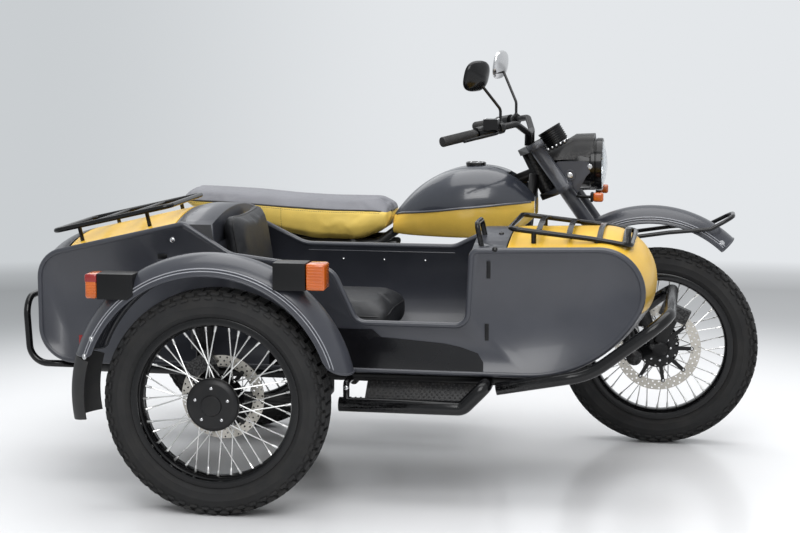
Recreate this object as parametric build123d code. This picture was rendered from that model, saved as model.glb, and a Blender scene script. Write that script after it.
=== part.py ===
from build123d import *
from math import atan2, cos, radians, sin, tan
import os

# A motorcycle with a flat-twin engine and a one-seat sidecar on its right.
# Millimetres: X forward, Y to the rider's left, Z up. While modelling, the rear axle is
# over X = 0, the motorcycle's middle plane is Y = 0 and the ground is Z = 0. The last
# step moves the whole, so that its origin is the middle of its footprint.

# Whole vehicle
wheelbase = 1470.0
track = 1142.0
wheel_lead = 197.0
seat_gap = 0.3
overrun = 5.0
running_gap = 6.0

# Wheels, the same form three times
tyre_radius = 342.0
axle_z = 342.0
tyre_width = 112.0
tyre_shoulder = 20.0
bead_radius = 241.6
rim_flange_radius = 257.5
rim_flange = 3.5
rim_width = 86.0
rim_well_radius = 228.0
rim_wall = 4.0
spoke_radius = 2.2
spokes_per_side = 20
spoke_spread_deg = 24.0
hub_radius = 42.0
hub_flange_radius = 72.0
hub_flange = 7.0
hub_width = 92.0
hub_cover_radius = 80.0
hub_cover = 26.0
hub_cap_radius = 32.0
hub_cap = 6.0
axle_radius = 12.5
axle_fit = 0.05
axle_nut_radius = 20.0
axle_nut = 14.0

# Brake discs and calipers
front_disc_radius = 147.5
rear_disc_radius = 128.0
disc_band = 34.0
disc_thickness = 5.0
disc_offset = 62.0
disc_carrier_radius = 60.0
disc_arms = 7
disc_arm_width = 11.0
caliper_width = 40.0
caliper_depth = 50.0
caliper_length = 100.0
caliper_clear = 3.0
caliper_over = 16.0
front_caliper_deg = 66.0
rear_caliper_deg = 60.0
side_caliper_deg = 125.0

# Main frame of the motorcycle
rake_deg = 27.0
head_x = 1000.0
head_z = 1030.0
head_tube_radius = 27.0
head_tube_length = 150.0
head_tube_drop = 22.0
stem_radius = 14.0
stem_fit = 0.05
frame_tube = 16.0
backbone_radius = 20.0
backbone_rear_x = 560.0
backbone_rear_z = 742.0
cradle_half = 125.0
cradle_front_x = 905.0
cradle_behind = 63.0
cradle_rear_x = tyre_radius + cradle_behind
cradle_z = 228.0
down_half = 34.0
down_x = 1004.0
down_z = 724.0
flare_x = 960.0
flare_z = 600.0
cradle_bend = 70.0
rail_half = 92.0
rail_z = 690.0
rail_rear_x = -165.0
rail_rear_z = 772.0

# Steering: leading-link fork
leg_half = 112.0
leg_radius = 24.0
leg_top_x = 1047.0
leg_top_z = 1032.0
leg_knee_x = 1262.0
leg_knee_z = 730.0
leg_bend = 120.0
link_pivot_x = 1392.0
link_pivot_z = 318.0
yoke_thickness = 22.0
yoke_width = 66.0
link_inner = 68.0
link_height = 44.0
link_thickness = 20.0
shock_radius = 26.0
shock_pin = 10.0
shock_base_x = 1452.0
shock_base_z = 356.0
shock_head_x = 1336.0
shock_head_z = 750.0

# Headlight, speedometer and front turn lamps
lamp_front_x = 1268.0
lamp_z = 972.0
bucket_radius = 91.0
bucket_depth = 172.0
bucket_ring = 24.0
glass_lip = 8.0
glass_edge = 6.0
glass_dome = 16.0
ear_sheet = 4.0
ear_length = 180.0
ear_height = 110.0
pod_x = 1078.0
pod_z = 1092.0
pod_depth = 58.0
pod_radius = 43.0
pod_lean_deg = 32.0
indicator_x = 1280.0
indicator_z = 872.0
indicator_y = 150.0
indicator_length = 44.0
indicator_width = 34.0
indicator_height = 32.0

# Handlebar and what it carries
bar_radius = 11.0
bar_x = 1012.0
bar_z = 1082.0
bar_clamp_half = 70.0
bar_elbow_x = 985.0
bar_elbow_y = 200.0
bar_elbow_z = 1120.0
bar_end_x = 768.0
bar_end_y = 425.0
bar_end_z = 1072.0
bar_bend = 45.0
riser_half = 45.0
riser_radius = 13.0
grip_radius = 17.0
grip_share = 0.42
grip_wall = 4.0
switch_radius = 21.0
lever_bend = 14.0
lever_radius = 5.0
lever_length = 170.0
lever_ahead = 62.0
reservoir_length = 48.0
reservoir_width = 58.0
reservoir_height = 34.0
mirror_x = 905.0
mirror_y = 345.0
mirror_right_z = 1283.0
mirror_left_z = 1305.0
mirror_width = 118.0
mirror_height = 104.0
mirror_corner = 42.0
mirror_depth = 24.0
mirror_stem = 60.0
mirror_clamp = 16.0
stem_wire = 5.0

# Front mudguard and its brace
fender_x = 1440.0
fender_up = 80.0
fender_z = axle_z + fender_up
fender_room = 68.0
fender_radius = tyre_radius + fender_room
fender_drop = 53.0
fender_half = 75.0
fender_start = 47.0
fender_end = 125.0
guard_sheet = 2.5
guard_bead = 4.5
loop_radius = 7.0
loop_rear_z = 712.0
loop_mid_x = 1499.0
loop_mid_z = 748.0
loop_low_x = 1640.0
loop_low_z = 762.0
loop_tip_x = 1716.0
loop_tip_z = 804.0
loop_bend = 45.0

# Engine and gearbox
engine_x = 655.0
engine_z = 415.0
crankcase_length = 330.0
crankcase_width = 216.0
crankcase_height = 290.0
sump_depth = 30.0
front_cover_radius = 112.0
front_cover = 34.0
generator_radius = 52.0
cylinder_radius = 60.0
fin_radius = 84.0
fin_count = 7
fin_thickness = 5.0
fin_pitch = 13.0
head_length = 78.0
head_height = 150.0
head_depth = 118.0
cylinder_stagger = 18.0
gearbox_height = 220.0
gearbox_width = 180.0
carb_length = 90.0
carb_radius = 24.0
carb_bowl = 46.0
air_box_x = 462.0
air_box_z = 621.0
air_box_length = 130.0
air_box_width = 150.0
air_box_height = 110.0
header_radius = 19.0
header_forward = 70.0
header_bend = 60.0
exhaust_half = 215.0
exhaust_z = 300.0
muffler_front_x = 330.0
muffler_length = 620.0
muffler_radius = 42.0

# Rear suspension and tail
arm_pivot_z = 335.0
arm_tube = 16.0
arm_half = 86.0
final_drive_radius = 84.0
rear_shock_half = 138.0
rear_shock_foot_x = 26.0
rear_shock_head_x = 110.0
rear_guard_room = 44.0
rear_guard_radius = tyre_radius + rear_guard_room
rear_guard_drop = 46.0
rear_guard_half = 74.0
rear_guard_start = 62.0
rear_guard_end = 172.0
tail_deg = 158.0
lamp_depth = 46.0
lamp_width = 110.0
lamp_height = 60.0
plate_width = 240.0
plate_height = 140.0
plate_sheet = 3.0
plate_hole_pitch = 150.0
plate_hole_radius = 3.5

# Fuel tank; each station is (share of length, half width, lowest, highest) as shares
tank_front_x = 1038.0
tank_rear_x = 540.0
tank_height = 238.0
tank_bottom_z = 720.0
tank_width = 318.0
tank_floor_share = 0.82
tank_shoulder_share = 0.42
tank_shares = [(0.0, 0.44, 0.02, 0.28), (0.22, 0.74, 0.0, 0.76), (0.52, 0.98, 0.0, 1.0),
               (0.80, 0.80, 0.05, 0.95), (1.0, 0.52, 0.30, 0.62)]
tunnel_width = 104.0
tunnel_clear = 8.0
cap_share = 0.57
cap_radius = 34.0
cap_height = 14.0

# Bench seat; the outline is (share of length, share of height) from its lowest rear point
seat_front_x = 536.0
seat_rear_x = -222.0
seat_width = 290.0
seat_bottom_z = rail_z + frame_tube + seat_gap
seat_height = 146.0
seat_corner = 16.0
seat_shares = [(0.0, 0.99), (0.07, 0.70), (0.385, 0.35), (0.50, 0.18), (0.66, 0.0), (0.84, 0.0),
               (1.0, 0.31), (1.0, 0.81), (0.70, 0.81), (0.34, 0.935)]
cover_x = 205.0
cover_length = 330.0
cover_z = 592.0
cover_height = 92.0
cover_sheet = 3.0
cover_corner = 12.0
cover_shares = [(0.0, 0.95), (0.15, 0.25), (0.55, 0.0), (0.95, 0.3), (1.0, 1.0)]
peg_x = 500.0
peg_length = 105.0
peg_radius = 13.0

# Sidecar body; its outline is (share of length, share of height, corner radius share)
body_rear_x = -440.0
body_front_x = 1457.0
body_floor_z = 404.0
body_top_z = 843.0
wheel_gap = 227.0
body_out_y = -track + wheel_gap
body_in_y = -345.0
body_wall = 8.0
bead_edge = 9.0
crown_rise = 34.0
crown_sheet = 4.0
body_shares = [(0.2478, 1.0, 0.05), (0.0, 0.754, 0.194), (0.0, 0.0, 0.239),
               (0.925, 0.0, 0.866), (1.0443, 0.895, 0.296), (0.7217, 0.8588, 0.05)]
near_opening_shares = [(0.7159, 0.3349, 0.091), (0.5351, 0.3349, 0.1025), (0.4955, 0.7016, 0.137),
                       (0.3268, 0.7882, 0.182)]
far_opening_shares = [(0.6537, 0.713, 0.182), (0.3848, 0.713, 0.273)]
cowl_share = 0.165
nose_skin_share = 0.52
lid_front_share = 0.077
lid_rear_share = 0.81
deck_length = 88.0
bulkhead_lean = 70.0
lid_clear = 6.0
hinge_radius = 6.0
hinge_length = 60.0
hinge_rise = 13.0
knuckle_length = 25.0
hinge_places_shares = (-0.36, 0.36)
seat_base_x = 300.0
seat_base_length = 330.0
seat_base_height = 60.0

# Sidecar seat
cushion_length = 430.0
cushion_margin = 70.0
cushion_width = body_in_y - body_out_y - cushion_margin * 2
cushion_height = 130.0
cushion_side = 45.0
back_low_z = 612.0
back_top_z = 872.0
back_thickness = 62.0
back_margin = 80.0
back_width = body_in_y - body_out_y - back_margin * 2
back_corner = 20.0

# Racks and grab bar
rack_radius = 8.0
rack_bend = 26.0
rack_rear_x = 1036.0
rack_rear_z = 842.0
rack_knee_x = 1280.0
rack_knee_z = 816.0
rack_front_x = 1402.0
rack_front_z = 797.0
rack_tip_rise = 52.0
rack_out_inset = 73.0
rack_in_inset = 103.0
rack_out_y = body_out_y + rack_out_inset
rack_in_y = body_in_y - rack_in_inset
rack_slat_shares = (0.24, 0.49, 0.74, 0.95)
rack_foot_shares = (0.20, 0.72)
slat_width = 17.0
slat_sheet = 4.0
slat_rise = 22.0
lid_rack_lift = 62.0
lid_rack_over = 56.0
lid_rack_short = 16.0
lid_rack_out_inset = 77.0
lid_rack_in_inset = 125.0
lid_rack_out_y = body_out_y + lid_rack_out_inset
lid_rack_in_y = body_in_y - lid_rack_in_inset
lid_slat_shares = (0.34, 0.66)
lid_foot_shares = (0.22, 0.80)
grab_x = 938.0
grab_inset = 53.0
grab_y = body_out_y + grab_inset
grab_top_z = 858.0
grab_width = 120.0

# Sidecar chassis
side_tube = 21.0
rail_out_inset = 43.0
rail_in_inset = 75.0
side_rail_out_y = body_out_y + rail_out_inset
side_rail_in_y = body_in_y - rail_in_inset
side_rail_front_x = 1120.0
side_rail_rear_x = -330.0
side_cross_places = (-300.0, 300.0, 1090.0)
strut_tube = 17.0
low_strut_places = (430.0, 820.0)
high_strut_z = 560.0
strut_knee_y = -290.0
strut_rise_y = -245.0
side_arm_pivot_x = 480.0
side_arm_z = 330.0
side_shock_x = 118.0
side_shock_foot_z = 392.0
side_shock_head_z = 640.0
tower_out = 47.0
side_tower_y = body_out_y - tower_out

# Tubes round the sidecar
step_tube = 22.0
step_out = 45.0
step_y = body_out_y - step_out
step_z = 305.0
step_rear_x = 530.0
step_front_x = 975.0
step_plate_sheet = 4.0
step_plate_inset = 30.0
nose_bar_radius = 19.0
nose_bar_out = 25.0
nose_bar_y = body_out_y - nose_bar_out
nose_bar_in_y = body_in_y + nose_bar_out
nose_bar_tip_x = 1522.0
nose_bar_tip_z = 596.0
nose_bar_rear_x = 1010.0
nose_bar_rear_z = 365.0
nose_bar_knee_x = 1290.0
nose_bar_knee_z = 417.0
bumper_radius = 11.0
bumper_rear_x = -506.0
bumper_top_z = 592.0
bumper_bend = 60.0

# Sidecar mudguard, its flap and lamps
side_guard_back = 14.0
side_guard_up = 10.0
side_guard_room = 96.0
side_guard_radius = tyre_radius + side_guard_room
side_guard_drop = 60.0
side_guard_half = 75.0
side_guard_start = 12.0
side_guard_end = 163.0
side_stay_degs = (36.0, 150.0)
stay_radius = 8.0
flap_sheet = 5.0
flap_end = 190.0
lamp_box_out = 76.0
lamp_box_width = 72.0
front_box_share = (0.6872, 0.7785)
front_box_length = 96.0
front_box_height = 80.0
rear_box_share = (-0.7511, 0.6849)
rear_box_length = 110.0
rear_box_height = 76.0
lens_depth = 58.0
rear_lens_depth = 38.0


def bar(start, end, radius):
    """Round bar from start to end."""
    line = Vector(*end) - Vector(*start)
    flat = Plane(origin=start, z_dir=line)
    return flat * Cylinder(radius, line.length, align=(Align.CENTER, Align.CENTER, Align.MIN))


def pipe(points, bend, radius):
    """Round bar that follows straight runs joined by bends of one radius, or a list."""
    path = FilletPolyline(*points, radius=bend)
    return sweep(Plane(origin=path @ 0, z_dir=path % 0) * Circle(radius), path=path)


def side_sheet(points, corners, y_low, y_high):
    """Sheet with an outline in X and Z, and its faces at y_low and y_high."""
    face = Plane.XZ * make_face(FilletPolyline(*points, radius=corners, close=True))
    return Location((0, y_high, 0)) * extrude(face, amount=y_high - y_low)


def box(x_low, x_high, y_low, y_high, z_low, z_high):
    """Upright block between six planes."""
    block = Box(x_high - x_low, y_high - y_low, z_high - z_low, align=(Align.MIN, Align.MIN, Align.MIN))
    return Location((x_low, y_low, z_low)) * block


def turned(profile):
    """Solid turned about the Y axis; profile holds (radius, y) points."""
    return revolve(make_face(Polyline(*profile, close=True)), axis=Axis.Y)


def mirrored(shape):
    """The same piece on the other side of the motorcycle."""
    return mirror(shape, about=Plane.XZ)


def group(shapes):
    """Separate solids kept as one node."""
    return Compound(children=[solid for shape in shapes for solid in shape.solids()])


def share_point(start, end, share):
    """Point at a share of the way between two points."""
    return tuple(a + (b - a) * share for a, b in zip(start, end))


def line_z(start, end, x):
    """Height of a straight run in X and Z at a place between its ends."""
    return start[1] + (end[1] - start[1]) * (x - start[0]) / (end[0] - start[0])


# Wheels

front_centre = (wheelbase, 0, axle_z)
rear_centre = (0, 0, axle_z)
side_centre = (wheel_lead, -track, axle_z)


def tyre(centre):
    """Tyre as one ring: beads in the rim, bulging walls and the tread out to its blocks."""
    half = tyre_width / 2
    inner = rim_width / 2 - rim_flange - seat_gap
    lip = rim_flange_radius + seat_gap
    swell = (rim_flange_radius + tyre_radius) / 2
    right = [(bead_radius, inner), (lip, inner), (lip + rim_flange * 2, half - rim_flange * 2), (swell, half),
             (tyre_radius - tyre_shoulder, half - rim_flange), (tyre_radius, half - tyre_shoulder)]
    left = [(radius, -y) for radius, y in reversed(right)]
    return Location(centre) * turned(right + left)


def rim():
    """Rim section turned round: flanges, bead seats and the well between them."""
    half = rim_width / 2
    bead = bead_radius - seat_gap
    well = rim_well_radius + rim_wall
    under = [(rim_well_radius, half / 3), (bead - rim_wall, half / 2 + rim_wall), (bead - rim_wall, half)]
    top = [(rim_flange_radius, half), (rim_flange_radius, half - rim_flange), (bead, half - rim_flange),
           (bead, half / 2 + rim_wall), (well, half / 3)]
    right = under + top
    left = [(radius, -y) for radius, y in reversed(right)]
    return turned(right + left)


def spoked_wheel(centre, cover_side):
    """Rim, crossed spokes and hub as one piece; cover_side closes that end of the hub."""
    bore = axle_radius + axle_fit
    face = hub_width / 2
    flange_y = face - hub_flange
    right = [(bore, face), (hub_flange_radius, face), (hub_flange_radius, flange_y), (hub_radius, flange_y)]
    hub = turned(right + [(radius, -y) for radius, y in reversed(right)])
    spokes = []
    for side in (-1, 1):
        for count in range(spokes_per_side):
            rim_turn = radians((count + (side + 1) / 4) * 360 / spokes_per_side)
            hub_turn = rim_turn + radians(spoke_spread_deg if count % 2 else -spoke_spread_deg)
            lace = hub_flange_radius - hub_flange
            layer = side * (face - hub_flange * (0.3 if count % 2 else 0.7))
            reach = rim_well_radius + rim_wall / 2
            start = (lace * cos(hub_turn), layer, lace * sin(hub_turn))
            end = (reach * cos(rim_turn), side * rim_width / 12, reach * sin(rim_turn))
            spokes.append(bar(start, end, spoke_radius))
    wheel = rim().fuse(hub, *spokes)
    if cover_side:
        step = face + hub_cover
        cover = turned([(0, face), (hub_cover_radius, face), (hub_cover_radius, face + hub_cover * 0.6),
                        (hub_cover_radius * 0.85, step), (hub_cap_radius, step),
                        (hub_cap_radius, step + hub_cap), (0, step + hub_cap)])
        wheel = wheel + (cover if cover_side > 0 else mirrored(cover))
    return Location(centre) * wheel


def brake_disc(centre, radius, side):
    """Disc band on a spider of arms that seats on the side of the hub."""
    low = disc_offset - disc_thickness
    inner = radius - disc_band
    hub_face = hub_width / 2 + seat_gap
    band = turned([(inner, low), (inner, disc_offset), (radius, disc_offset), (radius, low)])
    bore = axle_nut_radius + running_gap
    spider = turned([(bore, hub_face), (bore, disc_offset), (disc_carrier_radius, disc_offset),
                     (disc_carrier_radius, hub_face)])
    arm = box(disc_carrier_radius - overrun, inner + overrun, low, disc_offset,
              -disc_arm_width / 2, disc_arm_width / 2)
    arms = [Rotation(0, 360 * count / disc_arms, 0) * arm for count in range(disc_arms)]
    disc = band.fuse(spider, *arms)
    return Location(centre) * (disc if side > 0 else mirrored(disc))


def caliper(centre, radius, side, angle_deg):
    """Caliper astride the disc's edge, with a flat arm down to the axle's carrier."""
    middle = disc_offset - disc_thickness / 2
    outer = radius + caliper_over
    half = caliper_width / 2
    gap = disc_thickness / 2 + caliper_clear
    body = box(outer - caliper_depth, outer, middle - half, middle + half, -caliper_length / 2, caliper_length / 2)
    slot = box(0, radius + caliper_clear, middle - gap, middle + gap, -caliper_length, caliper_length)
    back = link_inner + link_thickness / 2
    arm = box(axle_nut_radius, outer - caliper_depth / 2, middle + gap + caliper_clear, back,
              -link_thickness, link_thickness)
    piece = Rotation(0, -angle_deg, 0) * (body - slot + arm)
    return Location(centre) * (piece if side > 0 else mirrored(piece))


# Motorcycle frame

def on_axis(drop):
    """Point on the steering axis, so far below the top of the steering head."""
    lean = radians(rake_deg)
    return (head_x + drop * sin(lean), 0, head_z - drop * cos(lean))


low_yoke_drop = head_tube_drop * 2 + head_tube_length


def main_frame():
    """Head tube, backbone, two cradle loops and the seat rails, all joined."""
    middle = on_axis(head_tube_drop + head_tube_length / 2)
    neck = on_axis(head_tube_drop + head_tube_length / 2 + frame_tube / 2)
    neck_x = neck[0] - frame_tube
    rail_front = (backbone_rear_x, 0, backbone_rear_z)
    parts = [bar(middle, rail_front, backbone_radius)]
    for side in (-1, 1):
        y = side * cradle_half
        down_y = side * down_half
        parts.append(pipe([(neck_x, down_y, neck[2]), (down_x, down_y, down_z), (flare_x, y, flare_z),
                           (cradle_front_x, y, cradle_z), (cradle_rear_x, y, cradle_z), (cradle_rear_x, y, rail_z)],
                          cradle_bend, frame_tube))
        parts.append(pipe([rail_front, (backbone_rear_x - cradle_bend, side * rail_half, rail_z),
                           (0, side * rail_half, rail_z), (rail_rear_x, side * rail_half, rail_rear_z)],
                          cradle_bend / 2, frame_tube))
        parts.append(bar((cradle_rear_x, y, rail_z), (cradle_rear_x, side * rail_half, rail_z), frame_tube))
    peg_end = cradle_half + frame_tube + peg_length
    parts.append(bar((peg_x, -peg_end, cradle_z), (peg_x, -cradle_half, cradle_z), peg_radius))
    parts.append(bar((peg_x, cradle_half, cradle_z), (peg_x, peg_end, cradle_z), peg_radius))
    for x, z in ((cradle_rear_x, arm_pivot_z), (cradle_front_x, cradle_z + cradle_bend)):
        parts.append(bar((x, -cradle_half, z), (x, cradle_half, z), frame_tube * 0.9))
    parts.append(bar((rail_rear_x, -rail_half, rail_rear_z), (rail_rear_x, rail_half, rail_rear_z), frame_tube * 0.8))
    head = bar(on_axis(head_tube_drop), on_axis(head_tube_drop + head_tube_length), head_tube_radius)
    bore = bar(on_axis(-overrun), on_axis(low_yoke_drop), stem_radius + stem_fit)
    return head.fuse(*parts) - bore


def rear_suspension():
    """Swing arm with the final drive, the rear axle and caliper, and two sprung shocks."""
    pivot_x = cradle_rear_x - frame_tube - arm_tube - seat_gap
    arm = bar((pivot_x, -cradle_half, arm_pivot_z), (pivot_x, cradle_half, arm_pivot_z), arm_tube)
    spacer = hub_width / 2 + seat_gap
    parts, shocks = [], []
    for side in (-1, 1):
        y = side * arm_half
        outer = side * (arm_half + arm_tube)
        parts.append(bar((pivot_x, y, arm_pivot_z), (0, y, axle_z), arm_tube))
        parts.append(bar((0, side * spacer, axle_z), (0, outer, axle_z), axle_nut_radius))
        foot = (rear_shock_foot_x, side * rear_shock_half, axle_z)
        head = (rear_shock_head_x, side * rear_shock_half, rail_z)
        parts.append(bar((foot[0], y, foot[2]), (foot[0], foot[1] + side * shock_pin, foot[2]), shock_pin))
        shocks.append(covered_shock(foot, head, shock_pin, shock_radius)
                      + bar((head[0], side * (rail_half + frame_tube + seat_gap), head[2]),
                            (head[0], head[1] + side * shock_pin, head[2]), shock_pin))
    drive = bar((0, -spacer, axle_z), (0, -arm_half, axle_z), final_drive_radius)
    axle = bar((0, -arm_half, axle_z), (0, arm_half, axle_z), axle_radius)
    brake = caliper(rear_centre, rear_disc_radius, 1, rear_caliper_deg)
    return group([arm.fuse(drive, axle, brake, *parts), *shocks])


def covered_shock(low, top, pin, radius):
    """Sprung shock between two pins: a rod with a cover round the spring."""
    line = Vector(*top) - Vector(*low)
    unit = line.normalized()
    start = Vector(*low) + unit * (pin + seat_gap)
    end = Vector(*top) - unit * pin * 0.5
    spring_low, spring_high = start + (end - start) * 0.18, start + (end - start) * 0.88
    return bar(start, end, radius * 0.4) + bar(spring_low, spring_high, radius)


def arched_guard(centre, crown, drop, half, sheet, start_deg, end_deg, bead):
    """Mudguard: an arched section turned about a wheel's cross line, with rolled lips."""
    bow = (half ** 2 + drop ** 2) / (2 * drop)
    middle = crown - bow
    span = atan2(half, bow - drop)
    rims = []
    for radius in (bow, bow - sheet):
        rims.append([(middle + radius * cos(span), side * radius * sin(span)) for side in (-1, 0, 1)])
        rims[-1][1] = (middle + radius, 0)
    outer, inner = rims
    edge = Curve() + [ThreePointArc(*outer), Line(outer[2], inner[2]), ThreePointArc(*reversed(inner)),
                      Line(inner[0], outer[0])]
    section = make_face(edge)
    if bead:
        for place in (0, 2):
            x, y = share_point(outer[place], inner[place], 0.5)
            section += Pos(x, y) * Circle(bead)
    turn = revolve(section, axis=Axis.Y, revolution_arc=end_deg - start_deg)
    return Location(centre) * Rotation(0, -end_deg, 0) * turn


def guard_core(centre, crown, drop, half):
    """Block that fills a mudguard, to trim what seats on its outside."""
    bow = (half ** 2 + drop ** 2) / (2 * drop)
    middle = crown - bow
    span = atan2(half, bow - drop)
    low = middle + bow * cos(span)
    wide = half + guard_bead * 2
    edge = Curve() + [ThreePointArc((low, -half), (crown, 0), (low, half)),
                      Polyline((low, half), (low, wide), (low / 2, wide), (low / 2, -wide), (low, -wide), (low, -half))]
    return Location(centre) * revolve(make_face(edge), axis=Axis.Y)


def rear_fender():
    """Rear mudguard between the seat rails."""
    return arched_guard(rear_centre, rear_guard_radius, rear_guard_drop, rear_guard_half, guard_sheet,
                        rear_guard_start, rear_guard_end, guard_bead)


def tail_lamp():
    """Lamp block on the mudguard's back, and the number-plate carrier below it."""
    turn = radians(180 - tail_deg)
    x = -(rear_guard_radius - rear_guard_drop) * cos(turn)
    z = axle_z + rear_guard_radius * sin(turn)
    lamp = box(x - lamp_depth * 2, x, -lamp_width / 2, lamp_width / 2, z - lamp_height / 2, z + lamp_height / 2)
    low = z - lamp_height / 2
    plate = box(x - lamp_depth * 2, x - lamp_depth * 2 + plate_sheet, -plate_width / 2, plate_width / 2,
                low - plate_height, low + plate_sheet)
    for side in (-1, 1):
        y = side * plate_hole_pitch / 2
        plate -= bar((x - lamp_depth * 3, y, low - plate_height / 2), (x, y, low - plate_height / 2), plate_hole_radius)
    return lamp + plate - guard_core(rear_centre, rear_guard_radius + seat_gap, rear_guard_drop, rear_guard_half)


# Engine

def crankcase():
    """Crankcase with front cover, sump and generator housing, and the gearbox behind it."""
    half = crankcase_width / 2
    x_low, x_high = engine_x - crankcase_length / 2, engine_x + crankcase_length / 2
    z_low, z_high = engine_z - crankcase_height / 2, engine_z + crankcase_height / 2
    corner = crankcase_height / 5
    block = side_sheet([(x_low, z_low), (x_high, z_low), (x_high, z_high - corner), (x_high - corner, z_high),
                        (x_low, z_high)], corner / 2, -half, half)
    sump = box(x_low + corner, x_high - corner, -half * 0.7, half * 0.7, z_low - sump_depth, z_low)
    front = bar((x_high, 0, engine_z), (x_high + front_cover, 0, engine_z), front_cover_radius)
    generator = bar((x_low + corner, 0, z_high), (x_high - corner, 0, z_high), generator_radius)
    gear_low = cradle_rear_x + frame_tube * 0.9 + seat_gap
    gearbox = side_sheet([(gear_low, engine_z - gearbox_height / 2), (x_low + corner, engine_z - gearbox_height / 2),
                          (x_low + corner, engine_z + gearbox_height / 2), (gear_low, engine_z + gearbox_height / 4)],
                         corner / 3, -gearbox_width / 2, gearbox_width / 2)
    return block.fuse(sump, front, generator, gearbox)


def cylinder_y(share):
    """Place along the right cylinder, from the crankcase's side out to the head's face."""
    foot = crankcase_width / 2 + seat_gap
    return -foot - (fin_pitch * fin_count + head_length) * share


def cylinders():
    """Finned barrels with their heads; the left one stands further forward."""
    x = engine_x - cylinder_stagger
    foot = cylinder_y(0)
    barrel_end = foot - fin_pitch * fin_count
    barrel = bar((x, foot, engine_z), (x, barrel_end, engine_z), cylinder_radius)
    fins = []
    for count in range(fin_count):
        y = foot - fin_pitch * (count + 0.5)
        fins.append(bar((x, y, engine_z), (x, y - fin_thickness, engine_z), fin_radius))
    x_half, z_half = head_depth / 2, head_height / 2
    head = side_sheet([(x - x_half, engine_z - z_half), (x + x_half, engine_z - z_half),
                       (x + x_half, engine_z + z_half), (x - x_half, engine_z + z_half)],
                      head_depth / 4, barrel_end - head_length, barrel_end)
    right = barrel.fuse(head, *fins)
    return group([right, Location((cylinder_stagger * 2, 0, 0)) * mirrored(right)])


def intake():
    """Two carburettors with their hoses, joined by the air box above the gearbox."""
    x_low, x_high = air_box_x - air_box_length / 2, air_box_x + air_box_length / 2
    half = air_box_width / 2
    air = box(x_low, x_high, -half, half, air_box_z - air_box_height / 2, air_box_z + air_box_height / 2)
    parts = []
    for side in (-1, 1):
        x = engine_x + side * cylinder_stagger
        port_x = x - head_depth / 2 - seat_gap
        y = -side * cylinder_y(0.75)
        z = engine_z + head_height / 4
        rear = port_x - carb_length
        middle = port_x - carb_length / 2
        parts.append(bar((port_x, y, z), (rear, y, z), carb_radius))
        parts.append(bar((middle, y, z - carb_bowl), (middle, y, z + carb_bowl), carb_radius))
        parts.append(pipe([(rear + overrun, y, z), (rear - carb_length / 2, y, z),
                           (air_box_x, side * half * 0.9, air_box_z - air_box_height * 0.35)],
                          carb_radius, carb_radius * 0.8))
    return air.fuse(*parts)


def exhaust():
    """Header pipe down from each head's front, then a long round silencer low on each side."""
    x = engine_x - cylinder_stagger + head_depth / 2 + seat_gap
    y = cylinder_y(0.75)
    z = engine_z - head_height / 5
    front = x + header_forward
    header = pipe([(x, y, z), (front, y, z), (front, -exhaust_half, exhaust_z - header_bend),
                   (front - header_forward * 1.6, -exhaust_half, exhaust_z - header_bend),
                   (muffler_front_x + header_bend, -exhaust_half, exhaust_z),
                   (muffler_front_x, -exhaust_half, exhaust_z)],
                  [header_bend * 0.6, header_bend * 0.6, header_bend * 0.6, header_bend * 0.4], header_radius)
    cone = header_radius * 3
    shell = revolve(make_face(Polyline(
        (0, 0), (header_radius * 1.1, 0), (muffler_radius, cone), (muffler_radius, muffler_length - cone),
        (header_radius * 1.2, muffler_length), (0, muffler_length), close=True)), axis=Axis.Y)
    right = header + Location((muffler_front_x, -exhaust_half, exhaust_z)) * Rotation(0, 0, 90) * shell
    return group([right, Location((cylinder_stagger * 2, 0, 0)) * mirrored(right)])


# Tank, seat and covers

def tank_section(x, half, z_low, z_high):
    """Closed section of the tank: flat floor, bowed flanks and a round top."""
    rise = z_high - z_low
    flank = z_low + rise * tank_shoulder_share
    lower = half * tank_floor_share
    edge = Curve() + [
        Line((-lower, z_low), (lower, z_low)),
        ThreePointArc((lower, z_low), (half * 0.97, z_low + rise * 0.2), (half, flank)),
        ThreePointArc((half, flank), (half * 0.74, z_low + rise * 0.86), (0, z_high)),
        ThreePointArc((0, z_high), (-half * 0.74, z_low + rise * 0.86), (-half, flank)),
        ThreePointArc((-half, flank), (-half * 0.97, z_low + rise * 0.2), (-lower, z_low))]
    return Plane(origin=(x, 0, 0), x_dir=(0, 1, 0), z_dir=(1, 0, 0)) * make_face(edge)


def fuel_tank():
    """Teardrop tank lofted through a few sections, with the tunnel for the backbone."""
    length = tank_front_x - tank_rear_x
    body = loft([tank_section(tank_rear_x + length * x, tank_width / 2 * half,
                              tank_bottom_z + tank_height * low, tank_bottom_z + tank_height * high)
                 for x, half, low, high in tank_shares])
    middle = on_axis(head_tube_drop + head_tube_length / 2)
    rise = backbone_radius + tunnel_clear
    rear_x = tank_rear_x - overrun
    tunnel = side_sheet([(rear_x, cradle_z), (head_x + head_tube_length, cradle_z), (head_x + head_tube_length, middle[2] + rise),
                         (middle[0] - rise, middle[2] + rise), (rear_x, backbone_rear_z + rise)], 0,
                        -tunnel_width / 2, tunnel_width / 2)
    head_room = bar(on_axis(-overrun), on_axis(low_yoke_drop), tunnel_width / 2)
    cap_x = tank_rear_x + length * cap_share
    cap_z = tank_bottom_z + tank_height
    cap = bar((cap_x, 0, cap_z - cap_height), (cap_x, 0, cap_z + cap_height), cap_radius)
    return body + cap - tunnel - head_room


def bench_seat():
    """Two-person bench cushion that rests on the seat rails."""
    length = seat_front_x - seat_rear_x
    points = [(seat_rear_x + length * x, seat_bottom_z + seat_height * z) for x, z in seat_shares]
    return side_sheet(points, seat_corner, -seat_width / 2, seat_width / 2)


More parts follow.
